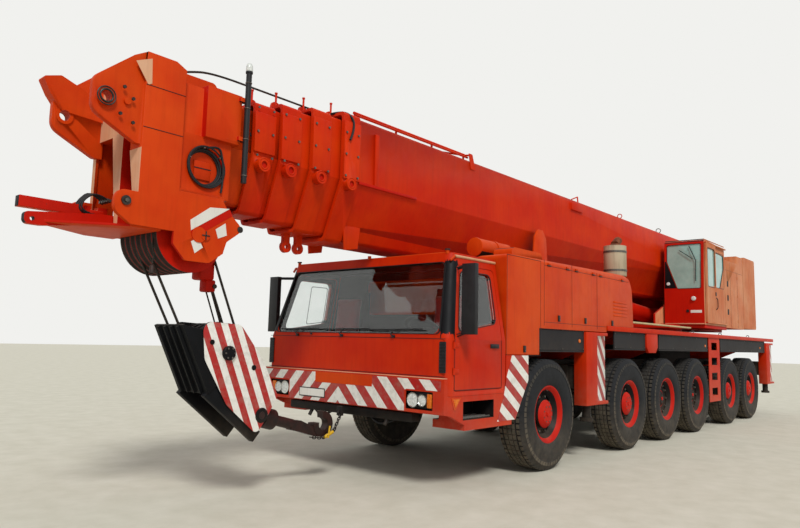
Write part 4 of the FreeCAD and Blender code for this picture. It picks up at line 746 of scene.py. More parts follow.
def upper_finish(middle, normal, low, high):
    return cab_deep_red if middle.z < 2045.0 or abs(middle.y) < 545.0 else upper_faded


def luffing_finish(middle, normal, low, high):
    return pin_steel if math.hypot(normal.x, normal.z) > 0.7 and high.x - low.x < 500.0 else cab_deep_red


def outrigger_finish(middle, normal, low, high):
    if abs(middle.y) < 1270.0:
        return chassis_coat
    if abs(normal.y) > 0.9 and abs(abs(middle.y) - 1430.0) < 3.0:
        return leg_film
    return vermilion


# The nodes of a rule, its slot and the width in millimetres by which their sharp edges are eased
worked_nodes = [
    {"nodes": ("engine_housing",), "slot": "red_paint", "finish_of": housing_finish, "edge": 6.0},
    {"nodes": ("engine_exhaust",), "slot": "exhaust_steel", "finish_of": exhaust_finish, "edge": 6.0},
    {"nodes": ("carrier_cab",), "slot": "red_paint", "finish_of": cab_finish, "edge": 6.0},
    {"nodes": ("carrier_door_left", "carrier_door_right"), "slot": "red_paint", "finish_of": door_finish,
     "edge": 3.0},
    {"nodes": ("crane_cab",), "slot": "red_paint", "finish_of": crane_cab_finish, "edge": 6.0},
    {"nodes": ("crane_cab_door",), "slot": "red_paint", "finish_of": crane_door_finish, "edge": 0.0},
    {"nodes": ("boom_head",), "slot": "red_paint", "finish_of": head_finish, "edge": 4.0},
    {"nodes": ("head_sheaves",), "slot": "cast", "finish_of": sheave_finish, "edge": 0.0},
    {"nodes": ("boom_base", "boom_section_1", "boom_section_2", "boom_section_3"), "slot": "red_paint",
     "finish_of": boom_finish, "edge": 5.0},
    {"nodes": ("hook_block",), "slot": "red_paint", "finish_of": block_finish, "edge": 3.0},
    {"nodes": ("deck",), "slot": "red_paint", "finish_of": deck_finish, "edge": 5.0},
    {"nodes": ("superstructure",), "slot": "red_paint", "finish_of": upper_finish, "edge": 6.0},
    {"nodes": ("luffing_barrel",), "slot": "red_paint", "finish_of": luffing_finish, "edge": 4.0},
    {"nodes": ["outrigger_beam_" + corner for corner in ("front_left", "front_right", "rear_left", "rear_right")],
     "slot": "red_paint", "finish_of": outrigger_finish, "edge": 5.0},
]
for row in worked_nodes:
    for node in row["nodes"]:
        dressed(node, row["finish_of"], row["edge"])


# Wheels: drawn facing out, then turned to their side
tyre_profile = [(-150, 340), (-172, 365), (-186, 420), (-191, 470), (-190, 520), (-184, 580), (-176, 632),
                (-162, 655), (-150, 668), (-92, 672), (-88, 672), (-32, 674), (-28, 674), (28, 674), (32, 674),
                (88, 672), (92, 672), (150, 668), (162, 655), (176, 632), (184, 580), (190, 520), (191, 470),
                (186, 420), (172, 365), (150, 340)]
tread_rows = [(-149, -92.5), (-87.5, -32.5), (-27.5, 27.5), (32.5, 87.5), (92.5, 149)]


def tyre_part():
    """The moulded tyre: a turned casing whose tread rows are raised as separate lugs."""
    part = turned(tyre_profile, origin, across, 60, closed=True)
    for number, (inner, outer) in enumerate(tread_rows):
        row = [f for f in part.faces if inner <= f.calc_center_median().y <= outer
               and math.hypot(f.calc_center_median().x, f.calc_center_median().z) > 660]
        bmesh.ops.inset_individual(part, faces=row, thickness=9 if number in (0, 4) else 7,
                                   depth=16, use_even_offset=True)
    shoulder = [f for f in part.faces if 176 < abs(f.calc_center_median().y) < 184
                and math.hypot(f.calc_center_median().x, f.calc_center_median().z) > 575]
    bmesh.ops.inset_individual(part, faces=shoulder, thickness=6, depth=6, use_even_offset=True)
    return part


def tyre_finish(middle, normal):
    reach = math.hypot(middle.x, middle.z)
    return tread_rubber if reach > 680 or (reach > 600 and abs(middle.y) > 183) else tyre_rubber


def rim_finish(middle, normal):
    reach = math.hypot(middle.x, middle.z)
    # Only the outer ring's outward faces are red; the recessed disc, the ring's inner faces and its back are black:
    # dark paint, and painted shade in the deep dish
    if middle.y > 20 and reach > 296 and normal.y > -0.5:
        return rim_red
    return black_coat


def hub_finish(middle, normal):
    # The hub's outward faces are red and its sides black, the black being painted shade in the dish
    return rim_red if normal.y > 0.3 else black_coat


tyre_shape = tyre_part()
rim_profile = [(44, 75.5), (44, 250), (60, 250), (75, 262), (120, 300), (150, 322),
               (160, 338), (165, 345), (165, 362), (145.6, 362), (145.6, 331),
               (-145.6, 331), (-145.6, 362), (-165, 362), (-165, 300), (20, 300),
               (20, 150), (-55, 150), (-55, 75.5)]
nut_circle = 222
for axle in axle_rows:
    hub_out, hub_radius = axle["hub_out"], axle["hub_radius"]
    for side, side_name in sides_named:
        wheel = Piece()
        wheel.put(tyre_shape.copy(), tyre_finish)
        wheel.put(turned(rim_profile, origin, across, 48, closed=True), rim_finish)
        hub = [(hub_out, 0), (hub_out, hub_radius - 60), (hub_out - 8, hub_radius - 50),
               (hub_out - 26, hub_radius - 12), (hub_out - 40, hub_radius), (45, hub_radius),
               (45, 76), (46, 0)]
        wheel.put(turned(hub, origin, across, 40), hub_finish)
        for x, z in around(10, nut_circle):
            wheel.put(bar((x, 43, z), (x, 52, z), 21, 16), chassis_coat)
            wheel.put(bar((x, 51, z), (x, 74, z), 15, 6), bolt_steel)
        for x, z in around(8, hub_radius - 78, 0.5):
            wheel.put(bar((x, hub_out - 2, z), (x, hub_out + 7, z), 8, 6), bolt_steel)
        wheel.put(bar((0, hub_out - 2, 0), (0, hub_out + 9, 0), 30, 24), cab_deep_red)
        wheel.put(bar((0, 95, 306), (0, 150, 290), 6, 8), bolt_steel)
        if side < 0:
            bmesh.ops.rotate(wheel.shape, cent=origin, matrix=Matrix.Rotation(math.pi, 3, "Z"),
                             verts=wheel.shape.verts)
        bmesh.ops.translate(wheel.shape, vec=(axle["x"], side * wheel_y, tyre_radius), verts=wheel.shape.verts)
        name = "wheel_%d_%s" % (axle["number"], side_name)
        wheel.done(name + "_finished", body_of[name], (name,))
tyre_shape.free()


# Front bumper: chevron film, lamps, plates
bumper_trim = Piece()
bumper_trim.put(cross_plate([(-945, 826), (945, 826), (945, 1042), (975, 1056), (1436, 1056),
                             (1436, 1164), (-1436, 1164), (-1436, 1056), (-975, 1056), (-945, 1042)],
                            4759.5, 4762.5, 0, 0), chevrons)
bumper_trim.put(cross_plate(rectangle(-470, 1046, 470, 1166), 4760, 4765, 8, 1), head_orange)
# Blank plate: a pale sheet in a dark frame
bumper_trim.put(cross_plate(rectangle(-753, 864, -292, 974), 4760, 4765, 8, 1), black_plastic)
bumper_trim.put(cross_plate(rectangle(-741, 876, -304, 962), 4760, 4768, 6, 1.5), white_coat)
bumper_trim.put(block((4700, -1470, 1180), (4761, 1470, 1186), 2), cream)
for side in both:
    bumper_trim.put(block((4708, side * 962, 852), (4713, side * 1328, 1038), 1), black_plastic)
bumper_trim.done("bumper_trim", "carrier")

lamp_trim = Piece()
for side in both:
    inner, outer = sorted((side * 968, side * 1322))
    lamp_trim.put(block((4711, inner, 858), (4722, outer, 1032), 3), black_plastic)
    lamp_trim.put(laid(surround(rectangle(inner, 858, outer, 1032), 16, 14, 0, 36),
                       plane(4718, 0, 0, across, upward, ahead)), black_plastic)
    for lamp_y, reach in ((side * 1052, 72), (side * 1178, 56)):
        dish = [(4, 0), (8, reach * 0.45), (20, reach * 0.8), (34, reach), (36, reach), (36, reach + 6),
                (0, reach + 6), (0, 0)]
        lamp_trim.put(turned(dish, (4716, lamp_y, 945), ahead, 28), lamp_reflector)
        lens = [(33, 0), (32, reach * 0.6), (28, reach), (24, reach), (25, 0)]
        lamp_trim.put(turned(lens, (4716, lamp_y, 945), ahead, 28), clear_lens)
    lamp_trim.put(block((4716, side * 1242, 872), (4748, side * 1306, 1018), 8), amber_lens)
lamp_trim.done("headlamps_finished", "carrier", ("carrier_lamps",))

# Side lamp at the cab corner
corner_lamps = Piece()
for side in both:
    y = side * 1477
    outline = [(4470, 985), (4640, 985), (4590, 860), (4560, 860)]
    corner_lamps.put(side_plate(outline, y, y + side * 4, 6, 1), hood_orange)
    corner_lamps.put(side_plate([(4500, 970), (4610, 970), (4575, 885)], y, y + side * 10, 10, 2), amber_lens)
corner_lamps.done("corner_lamps", "carrier")

# Wheel-arch bands
arch_bands = Piece()
for side in both:
    y = side * 1475
    outline = [(3112, 1423), (3112, 1132), (3402, 692), (3780, 692), (3640, 990), (3590, 1180), (3480, 1423)]
    arch_bands.put(side_plate(outline, y, y + side * 3, 0, 0), arch_film)
arch_bands.done("arch_bands", "carrier")

# Step boxes: grey tread on the sill, grey rungs as a grating, and black plates lining the recess behind them as
# painted shade
steps = Piece()
for side in both:
    steps.put(block((3482, side * 1052, 724), (4398, side * 1473, 729), 1), step_plate)
    # Black plates line the step well: painted shade inside the recess
    steps.put(block((3853, side * 1200, 747), (4427, side * 1470, 751), 1), black_coat)
    steps.put(block((3852, side * 1195, 749), (4428, side * 1199, 938), 1), black_coat)
    for x in (3851, 4425):
        steps.put(block((x, side * 1199, 749), (x + 4, side * 1474, 938), 0), black_coat)
    for rung in range(4):
        y = side * (1240 + 60 * rung)
        steps.put(bar((3852, y, 760), (4428, y, 760), 8, 8), step_plate)
steps.done("cab_steps", "carrier")


# Windscreen: rubber surround, wipers, vent, a dark strip inside its top as painted shade, and gutter
cab_trim = Piece()
lean = Vector((-screen_lean, 0, 1)).normalized()
out = Vector((1, 0, screen_lean)).normalized()
stretch = math.hypot(1, screen_lean)
screen_plane = plane(screen_x(belt_z), 0, belt_z, across, lean, out)
screen_corners = [(-1340, 50 * stretch), (1340, 50 * stretch), (1240, 830 * stretch), (-1240, 830 * stretch)]
cab_trim.put(window_strip(screen_corners, 60, 14, 22, 8, screen_plane, 2), seal_rubber)


def on_screen(u, v, w):
    """A place beside the windscreen: across it, up it and out of it."""
    return screen_plane @ Vector((u, v, w))


for pivot, tip, arm in ((-900, -1230, -520), (-100, -460, 330), (720, 330, 1120)):
    foot = on_screen(pivot, 12, 6)
    knee = on_screen(pivot - 40, 40, 26)
    reach = on_screen((tip + arm) / 2, 92, 24)
    elbow = knee - Vector((6, 0, 6))
    for start, end, radius, sides in ((foot - Vector((14, 0, 0)), foot + Vector((18, 0, 0)), 17, 14),
                                      (elbow, foot + Vector((14, 0, 0)), 8, 8), (elbow, reach, 6, 8),
                                      (on_screen(tip, 86, 14), on_screen(arm, 98, 14), 7, 8)):
        cab_trim.put(bar(start, end, radius, sides), black_plastic)
    cab_trim.put(bar(on_screen(tip, 84, 5), on_screen(arm, 96, 5), 4, 6), seal_rubber)
for side in both:
    # Black air vents at the front corners
    cab_trim.put(cross_plate(rectangle(side * 1362, 1238, side * 1446, 1560), 4699, 4709, 10, 1), black_plastic)
    for slat in range(9):
        z = 1262 + 34 * slat
        cab_trim.put(block((4706, side * 1370, z), (4716, side * 1438, z + 12), 2), black_plastic)
    # Pale gutter over the doors and lifting eyes on the roof
    y = side * 1330
    cab_trim.put(bar((3640, y, 2492), (4420, y, 2492), 15, 10), cream)
    cab_trim.put(bar((4420, y, 2492), (4470, y - side * 20, 2440), 15, 10), hood_orange)
    cab_trim.put(bar((4436, side * 1240, 2520), (4436, side * 1240, 2566), 20, 12), hood_orange)
    cab_trim.put(bar((4436, side * 1240, 2560), (4436, side * 1240, 2574), 30, 12), black_plastic)
cab_trim.put(bar((4440, 60, 2524), (4440, 60, 2566), 22, 12), hood_orange)
cab_trim.put(bar((4440, -1250, 2530), (4440, 1250, 2530), 9, 8), hood_orange)
# A dark strip inside the top of the windscreen: painted shade along the glass's upper edge
cab_trim.put(block((4250, -1180, 2350), (4400, 1180, 2372), 8), lining)
for seam_z in (1196, 1586):
    cab_trim.put(block((4699, -1440, seam_z), (4702.5, 1440, seam_z + 6), 0), seal_rubber)
cab_trim.put(bar((4702, -640, 1620), (4720, -640, 1620), 12, 12), black_plastic)
cab_trim.done("cab_trim", "carrier")

# Doors: window rubber, seam line, handle, hinge straps
for side, side_name in sides_named:
    door_trim = Piece()
    tilt_up = Vector((0, -side * side_lean, 1)).normalized()
    tilt_out = Vector((0, side, side_lean)).normalized()
    rise = math.hypot(1, side_lean)
    door_plane = plane(0, side * half_width, belt_z, ahead, tilt_up, tilt_out)
    window = [(3780, 190 * rise), (4510, 80 * rise), (4350, 740 * rise), (3780, 740 * rise)]
    door_trim.put(window_strip(window, 70, 16, 16, 7, door_plane), seal_rubber)
    pane_frame = [(3830, 216), (4120, 176), (4120, 690), (3830, 690)]
    door_trim.put(window_strip(pane_frame, 30, 8, 10, 6, door_plane, 34), black_plastic)
    # Seam round the leaf: a dark line let into the paint
    for line in (((3702, 1062), (4588, 1062)), ((3702, 1062), (3702, 1588)), ((4588, 1062), (4588, 1588))):
        door_trim.put(seam(line, side * half_width, 3), seal_rubber)
    grip_y = side * 1478
    door_trim.put(block((3762, grip_y, 1500), (3932, grip_y + side * 6, 1548), 2), black_plastic)
    door_trim.put(hose([(3786, side * 1480, 1524), (3796, side * 1504, 1524), (3850, side * 1506, 1524),
                        (3900, side * 1504, 1524), (3910, side * 1480, 1524)], 8), black_plastic)
    for z in (1255, 1525):
        door_trim.put(block((4520, side * 1474, z - 22), (4598, side * 1482, z + 22), 2), vermilion)
    # The mirror's silvered face looks back
    door_trim.put(block((4494, side * 1542, 1700), (4501, side * 1688, 2330), 2), mirror_silver)
    door_trim.done("cab_door_trim_" + side_name, "cab_door_" + side_name)


# Cab interior: dials, wheel rim, lever, seats with sprung cushions
inside_trim = Piece()
inside_trim.put(hoop((4330, 850, 1700), (-90, 0, 140), 205, 17, 36, 10), seal_rubber)
inside_trim.put(block((4404, 560, 1560), (4420, 1140, 1690), 6), black_plastic)
for y in (700, 800, 900, 1000):
    inside_trim.put(bar((4398, y, 1640), (4408, y, 1640), 36, 20), clear_lens)
    inside_trim.put(hoop((4398, y, 1640), (-1, 0, 0), 37, 4, 20, 6), bolt_steel)
inside_trim.put(bar((4180, 480, 1150), (4130, 470, 1560), 9, 10), pin_steel)
inside_trim.put(turned([(-26, 0), (-22, 20), (0, 28), (22, 20), (26, 0)], (4128, 470, 1572), upward, 18),
                black_plastic)
inside_trim.done("cab_controls", "carrier")


def evaluated(thing):
    """The object as its modifiers leave it."""
    return thing.evaluated_get(bpy.context.evaluated_depsgraph_get())


def cushion(name, body, low, high, cloth, puff=0.022, lean_back=0):
    """A padded seat part: a rounded body swollen by cloth simulation, then smoothed once."""
    shape = block(low, high, 26)
    low, high = Vector(low), Vector(high)
    middle = (low + high) / 2
    if lean_back:
        bmesh.ops.rotate(shape, cent=(low.x, middle.y, low.z), matrix=Matrix.Rotation(lean_back, 3, "Y"),
                         verts=shape.verts)
    bmesh.ops.transform(shape, matrix=to_frame, verts=shape.verts)
    mesh = bpy.data.meshes.new(name)
    shape.to_mesh(mesh)
    shape.free()
    mesh.materials.append(cloth)
    thing = placed_object(name, mesh)
    bpy.context.view_layer.objects.active = thing
    remesh = thing.modifiers.new("even", "REMESH")
    remesh.mode = "VOXEL"
    remesh.voxel_size = 0.012
    start = [v.co.copy() for v in evaluated(thing).data.vertices]
    even = bpy.data.meshes.new_from_object(evaluated(thing))
    thing.modifiers.clear()
    thing.data = even
    swell = thing.modifiers.new("swell", "CLOTH")
    swell.settings.use_pressure = True
    swell.settings.uniform_pressure_force = 4
    swell.settings.effector_weights.gravity = 0
    for step in range(1, 21):
        bpy.context.scene.frame_set(step)
    puffed = bpy.data.meshes.new_from_object(evaluated(thing))
    thing.modifiers.clear()
    for vertex, was in zip(puffed.vertices, start):
        moved = vertex.co - was
        if moved.length > puff:
            vertex.co = was + moved.normalized() * puff
    thing.data = puffed
    bpy.context.scene.frame_set(1)
    smooth = thing.modifiers.new("smooth", "SUBSURF")
    smooth.levels = smooth.render_levels = 1
    for face in thing.data.polygons:
        face.use_smooth = True
    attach(thing, body)
    return thing


for side, side_name in sides_named:
    y = side * 850
    cushion("driver_cushion_" + side_name, "carrier", (3760, y - 225, 1560), (4190, y + 225, 1640), red_cloth)
    cushion("driver_backrest_" + side_name, "carrier", (3850, y - 215, 1640), (3940, y + 215, 2120), red_cloth,
            lean_back=-0.092)
cushion("operator_cushion", "upper", (-5030, 790, 2580), (-4550, 1210, 2650), grey_cloth)
cushion("operator_backrest", "upper", (-4962, 810, 2600), (-4882, 1190, 3270), grey_cloth, lean_back=-0.142)


# Boom head: hose coil, pins, painted marks, roller, mast lamp
head_trim = Piece()
coil = [{"reach": 176, "y": 352, "wire": 15}, {"reach": 168, "y": 378, "wire": 13},
        {"reach": 182, "y": 396, "wire": 12}, {"reach": 158, "y": 358, "wire": 12},
        {"reach": 190, "y": 410, "wire": 9}]
for number, turn in enumerate(coil):
    drift = 6 * math.sin(2.4 * number)
    head_trim.put(hoop((6958 + drift, turn["y"], 3072 - drift), (0.04 * drift / 6, 1, 0.05), turn["reach"],
                       turn["wire"], 36, 8), hose_rubber)
head_trim.put(hose([(6960, 395, 3250), (6840, 410, 3300), (6800, 415, 3200), (6780, 420, 3000), (6800, 418, 2860)],
                   10), hose_rubber)
head_trim.put(block((6880, 341, 2960), (7050, 356, 3130), 6), head_orange)
head_trim.put(block((6880, 355, 3060), (7050, 360, 3068)), seal_rubber)
for angle in range(6):
    turn = math.radians(60 * angle + 20)
    centre = Vector((6958 + 176 * math.cos(turn), 0, 3072 + 176 * math.sin(turn)))
    head_trim.put(bar((centre.x, 340, centre.z), (centre.x, 414, centre.z), 7, 6), bolt_steel)
head_trim.put(cross_plate([(252, 3100), (448, 3100), (448, 2484), (402, 2484)], 7599, 7602), cream)
# Painted marks on the left side: a triangle at the top, a stripe with its edge and two patches below
for outline, thick, finish in (([(7700, 3812), (7560, 3876), (7548, 3660), (7580, 3640)], 3, cream),
                               ([(7110, 2560), (6920, 2702), (6715, 2722), (7098, 2470)], 3, white_coat),
                               ([(7098, 2466), (6715, 2718), (6680, 2660), (7080, 2400)], 2, cab_deep_red),
                               ([(7092, 2372), (7022, 2412), (6972, 2332), (7050, 2272)], 3, white_coat),
                               ([(6852, 2512), (6752, 2582), (6732, 2472), (6822, 2432)], 3, white_coat)):
    head_trim.put(side_plate(outline, head_half, head_half + thick), finish)
for side in both:
    y = side * head_half
    x, z = boom_pin
    head_trim.put(bar((x, y, z), (x, y + side * 14, z), 44, 24), head_orange)
    # The two bars of the cross on the pin's end
    for wide, tall in ((39, 5), (5, 39)):
        head_trim.put(block((x - wide, y + side * 12, z - tall), (x + wide, y + side * 20, z + tall), 1), pin_steel)
    head_trim.put(bar((6590, y - side * 6, 2545), (6590, y + side * 6, 2545), 30, 20), pin_steel)
    head_trim.put(bar((7700, y - side * 8, 2630), (7700, y + side * 14, 2630), 40, 20), pin_steel)
    head_trim.put(bar((7700, y + side * 12, 2630), (7700, y + side * 30, 2630), 17, 6), bolt_steel)
    for reach, wire in ((52, 9), (74, 6)):
        head_trim.put(hoop((7920, side * 451, 3445), across, reach, wire, 32, 8), pin_steel)
    for x, z in ((7780, 3560), (7800, 3330), (7700, 3480), (7690, 3280)):
        head_trim.put(bar((x, y - side * 4, z), (x, y + side * 10, z), 16, 6), pin_steel)
    # Weld line where the upper box meets the side wall
    for z in (3275, 3640):
        head_trim.put(block((7232, y - side, z), (7598, y + side * 3, z + 5)), seal_rubber)
head_trim.put(turned([(-165, 30), (-165, 66), (-150, 66), (-140, 56), (140, 56), (150, 66), (165, 66), (165, 30)],
                     (roller[0], 0, roller[1]), across, 24), pin_steel)
head_trim.put(hoop((7400, 120, 3952), (1, 0.3, 0), 42, 8, 24, 8), bolt_steel)
head_trim.put(bar((7400, 120, 3895), (7400, 120, 3918), 16, 12), bolt_steel)
head_trim.put(turned([(0, 0), (0, 30), (12, 33), (60, 31), (82, 22), (92, 0)], (*mast_lamp, 4060), upward, 20),
              clear_lens)
head_trim.put(turned([(0, 0), (0, 34), (18, 34), (20, 0)], (*mast_lamp, 4046), upward, 20), black_plastic)
head_trim.put(turned([(0, 0), (0, 36), (20, 34), (28, 0)], (7190, 120, 3950), upward, 20), pin_steel)
for z in (3050, 3400, 3700, 3950):
    head_trim.put(hoop((*mast_lamp, z), upward, 28, 5, 20, 6), bolt_steel)
# Hydraulic lines at the far prongs, and the rope clamp under the head
for number in range(4):
    y = -60 - 45 * number
    head_trim.put(hose([(7600, y, 2700), (7700, y - 10, 2760 + 12 * number), (7800, y - 20, 2700),
                        (7840, y - 15, 2600), (7740, y - 5, 2560), (7640, y, 2560)], 8), hose_rubber)
    head_trim.put(bar((7590, y, 2700), (7625, y, 2706), 18, 6), bolt_steel)
head_trim.put(block((7640, -250, 2560), (7760, -60, 2600), 6), cab_deep_red)
head_trim.put(hose([(7330, 250, 2420), (7350, 262, 2330), (7320, 262, 2240), (7330, 255, 2170)], 7), wire_rope)
head_trim.put(turned([(0, 0), (6, 26), (60, 22), (90, 0)], (7330, 255, 2080), upward, 16), cast_iron)
# Hoist rope from the roller back over the sections
head_trim.put(hose([(7190, 150, 3950), (7050, 150, 4010), (6800, 150, 4078), (6200, 150, 4078), (5400, 150, 4076)],
                   11), wire_rope)
head_trim.done("head_trim", "head")

# Telescope: pins in the side bosses, bolts, guide-rod caps and a cable loop on each section
sections = [{"body": "boom", "half": 480, "front": 5360, "top": 4020},
            {"body": "section_1", "half": 436, "front": 5760, "top": 3962},
            {"body": "section_2", "half": 392, "front": 6130, "top": 3904},
            {"body": "section_3", "half": 348, "front": 6430, "top": 3846}]
for section in sections:
    collar = Piece()
    half, front, top = section["half"], section["front"], section["top"]
    for side in both:
        y = side * (half + 40)
        for reach, wire in ((40, 8), (66, 6)):
            collar.put(hoop((front - 110, y + side * 21, 3235), across, reach, wire, 24, 6), boom_red)
        collar.put(bar((front - 110, y, 3235), (front - 110, y + side * 10, 3235), 36, 20), cab_deep_red)
        for z in (3320, 3560, 3800):
            for x in (front - 30, front - 210):
                collar.put(bar((x, y, z), (x, y + side * 12, z), 13, 6), bolt_steel)
        collar.put(bar((front - 70, side * 200, top + 175), (front - 70, side * 200, top + 189.5), 16, 12), boom_red)
    collar.put(hose([(front - 20, half * 0.55, top - 20), (front + 30, half * 0.7, top - 60),
                     (front + 26, half * 0.8, top - 200), (front - 8, half * 0.86, top - 330)], 12), hose_rubber)
    if section["body"] == "boom":
        collar.put(hose([(5380, 300, 4034), (5320, 430, 4060), (5240, 520, 3990), (5230, 532, 3840),
                         (5290, 535, 3720)], 13), hose_rubber)
        collar.put(bar((2960, 430, 4068), (5120, 430, 4068), 13, 10), boom_red)
        collar.put(bar((2990, 400, 4100), (3530, 400, 4024), 12, 10), boom_red)
        collar.put(side_plate([(2930, 4110), (3012, 4110), (2962, 3900), (2850, 3900)], 481, 491, 10, 1), boom_red)
        collar.put(bar((2985, 395, 4100), (2975, 488, 4090), 14, 10), boom_red)
        for side in both:
            near, far = side * half, side * (half + 22)
            collar.put(block((4790, near, 3300), (4850, far, 3900), 4), boom_red)
            collar.put(block((4100, near, 3268), (5100, far, 3300), 3), cab_deep_red)
        # Lifting eye and hose guide on the boom's back
        collar.put(hoop((-2050, 440, 4058), (1, 0.2, 0), 40, 8, 24, 8), boom_red)
        collar.put(hoop((-4060, 440, 4060), (1, 0.2, 0), 46, 8, 24, 8), bolt_steel)
        collar.put(bar((-300, 440, 4010), (-300, 430, 4120), 12, 10), boom_red)
        collar.put(bar((-300, 430, 4116), (-60, 440, 4030), 10, 10), boom_red)
        collar.put(hose([(5360, 150, 4076), (3000, 150, 4070), (0, 150, 4064), (-4600, 150, 4056),
                         (-5600, 150, 3960), (-6440, 150, 3284)], 11), wire_rope)
        for x in (3200, 800, -1600, -4000):
            collar.put(bar((x, 90, 4040), (x, 210, 4040), 24, 16), pin_steel)
            for y in (92, 208):
                collar.put(block((x - 30, y - 6, 4018), (x + 30, y + 6, 4060), 2), boom_red)
    collar.done(section["body"] + "_collar", section["body"])

# Hook block: pins, keeper plates and the limit weight with its chains
block_trim = Piece()
cheek_out = 269.5
for side in both:
    y = side * cheek_out
    pin_x, pin_z = sheave_pin
    block_trim.put(turned([(0, 0), (0, 68), (26, 68), (34, 60), (36, 0)], (pin_x, y, pin_z), (0, side, 0), 28),
                   black_coat)
    for x, z, reach in ((6220, 1262, 26), (6700, 1500, 24)):
        block_trim.put(turned([(0, 0), (0, reach), (8, reach - 2), (10, 0)], (x, y, z), (0, side, 0), 18),
                       black_coat)
    block_trim.put(turned([(0, 37), (0, 74), (9, 70), (9, 37)], (6100, y, 800), (0, side, 0), 28, closed=True),
                   black_coat)
    for number in range(6):
        turn = math.radians(60 * number)
        x, z = pin_x + 50 * math.cos(turn), pin_z + 50 * math.sin(turn)
        block_trim.put(bar((x, y + side * 30, z), (x, y + side * 42, z), 9, 6), bolt_steel)
block_trim.put(block((6590, -80, 2085), (6750, 80, 2290), 22), cab_deep_red)
block_trim.put(block((6560, -60, 1975), (6670, 60, 2092), 16), cab_deep_red)
block_trim.put(bar((6575, -70, 2030), (6575, 70, 2030), 22, 16), cast_iron)
for y in (-45, 45):
    block_trim.put(bar((6600, y, 1990), (6470, y, 1660), 8, 8), wire_rope)
    block_trim.put(bar((6660, y, 2280), (6700, y, 2420), 8, 8), wire_rope)
block_trim.put(turned([(-30, 0), (-30, 26), (30, 26), (30, 0)], (6465, 0, 1670), across, 16), cast_iron)
block_trim.done("block_trim", "hook")

# Chain from the hook to the bumper, with its yellow tensioner
chain = Piece()
link = hoop(origin, upward, 17, 5.5, 12, 6)
bmesh.ops.scale(link, vec=(1.55, 1, 1), verts=link.verts)
run = [Vector((5290, 78, 500)), Vector((5110, 84, 478)), Vector((4940, 70, 540)), Vector((4785, 10, 700))]
stations = []
for start, end in zip(run[:-1], run[1:]):
    count = round((end - start).length / 40)
    stations += [(start.lerp(end, (i + 0.5) / count), end - start) for i in range(count)]
for number, (place_now, along) in enumerate(stations):
    turn = along.to_track_quat("X", "Z").to_matrix().to_4x4() @ Matrix.Rotation(math.pi / 2 * (number % 2), 4, "X")
    chain.put(laid(link.copy(), Matrix.Translation(place_now) @ turn), pin_steel)
link.free()
chain.put(bar((5090, 84, 482), (4960, 76, 530), 19, 14), yellow_coat)
chain.put(bar((5040, 90, 470), (5020, 92, 600), 10, 10), yellow_coat)
chain.put(hoop((4790, 0, 716), across, 28, 9, 20, 8), pin_steel)
chain.put(block((4770, -45, 690), (4800, 45, 798), 6), black_coat)
chain.done("bumper_chain", "carrier")

# Front underrun: dark beam, tow pin and hoses below the bumper
underrun = Piece()
underrun.put(block((4560, -1000, 700), (4690, 1000, 796), 12), black_coat)
for side in both:
    underrun.put(bar((4660, side * 620, 700), (4700, side * 620, 640), 22, 14), black_coat)
    underrun.put(hose([(4600, side * 300, 720), (4640, side * 420, 640), (4600, side * 560, 640),
                       (4560, side * 700, 720)], 14), hose_rubber)
underrun.done("front_underrun", "carrier")

# Hood: panel seams, hinges, latches, louvres, grab rail and air pipe rims
hood = Piece()
hood_side = 1460
seams = [((2700, 1800), (2700, 2630)), ((1950, 1800), (1950, 2630)), ((1180, 1800), (1180, 2600)),
         ((2790, 1420), (3570, 1420)), ((2790, 1420), (2790, 2600)), ((2790, 2600), (3570, 2600)),
         ((3570, 1420), (3570, 2600)), ((60, 2560), (2690, 2560)), ((60, 1840), (2690, 1840))]
for line in seams:
    for side in both:
        hood.put(seam(line, side * hood_side, 2.5), seal_rubber)
for side in both:
    near, far = side * 1459, side * 1474
    for x in (300, 1060, 1300, 1820, 2080, 2580):
        hood.put(block((x - 38, near, 2574), (x + 38, far, 2598), 4), hood_orange)
        hood.put(bar((x - 44, side * 1466, 2562), (x + 44, side * 1466, 2562), 8, 10), pin_steel)
    for x in (680, 1560, 2320, 3180):
        z = 1900 if x < 2700 else 1500
        hood.put(block((x - 26, near, z - 40), (x + 26, far, z + 40), 5), black_plastic)
        hood.put(bar((x, side * 1470, z - 20), (x, side * 1480, z - 20), 9, 12), bolt_steel)
for z in (2010, 2060, 2110, 2160, 2210):
    for side in both:
        hood.put(block((140, side * 1459, z), (620, side * 1468, z + 22), 4), hood_orange)
hood.put(hose([(1380, 900, 2660), (1380, 900, 2740), (1500, 900, 2750), (1900, 900, 2750),
               (2020, 900, 2740), (2020, 900, 2660)], 14), hood_orange)
hood.put(turned([(0, 108), (0, 122), (40, 122), (40, 108)], (3180, 1000, 2720), ahead, 28, closed=True), hood_orange)
hood.put(turned([(0, 0), (0, 118), (14, 114), (22, 60), (24, 0)], (3570, 1000, 2720), ahead, 28), hood_orange)
hood.done("hood_trim", "carrier")

# Silencer: straps and the pipe's rim
silencer = Piece()
silencer_x, silencer_y = -20, 1215
for z in (2760, 3060):
    silencer.put(turned([(-16, 174), (-16, 181), (16, 181), (16, 174)], (silencer_x, silencer_y, z), upward, 36,
                        closed=True), bolt_steel)
silencer.put(hoop((silencer_x, silencer_y, 3150), upward, 168, 9, 36, 8), silencer_coat)
silencer.put(hoop((silencer_x, silencer_y, 3180), upward, 68, 8, 24, 8), rust)
silencer.done("silencer_trim", "carrier")

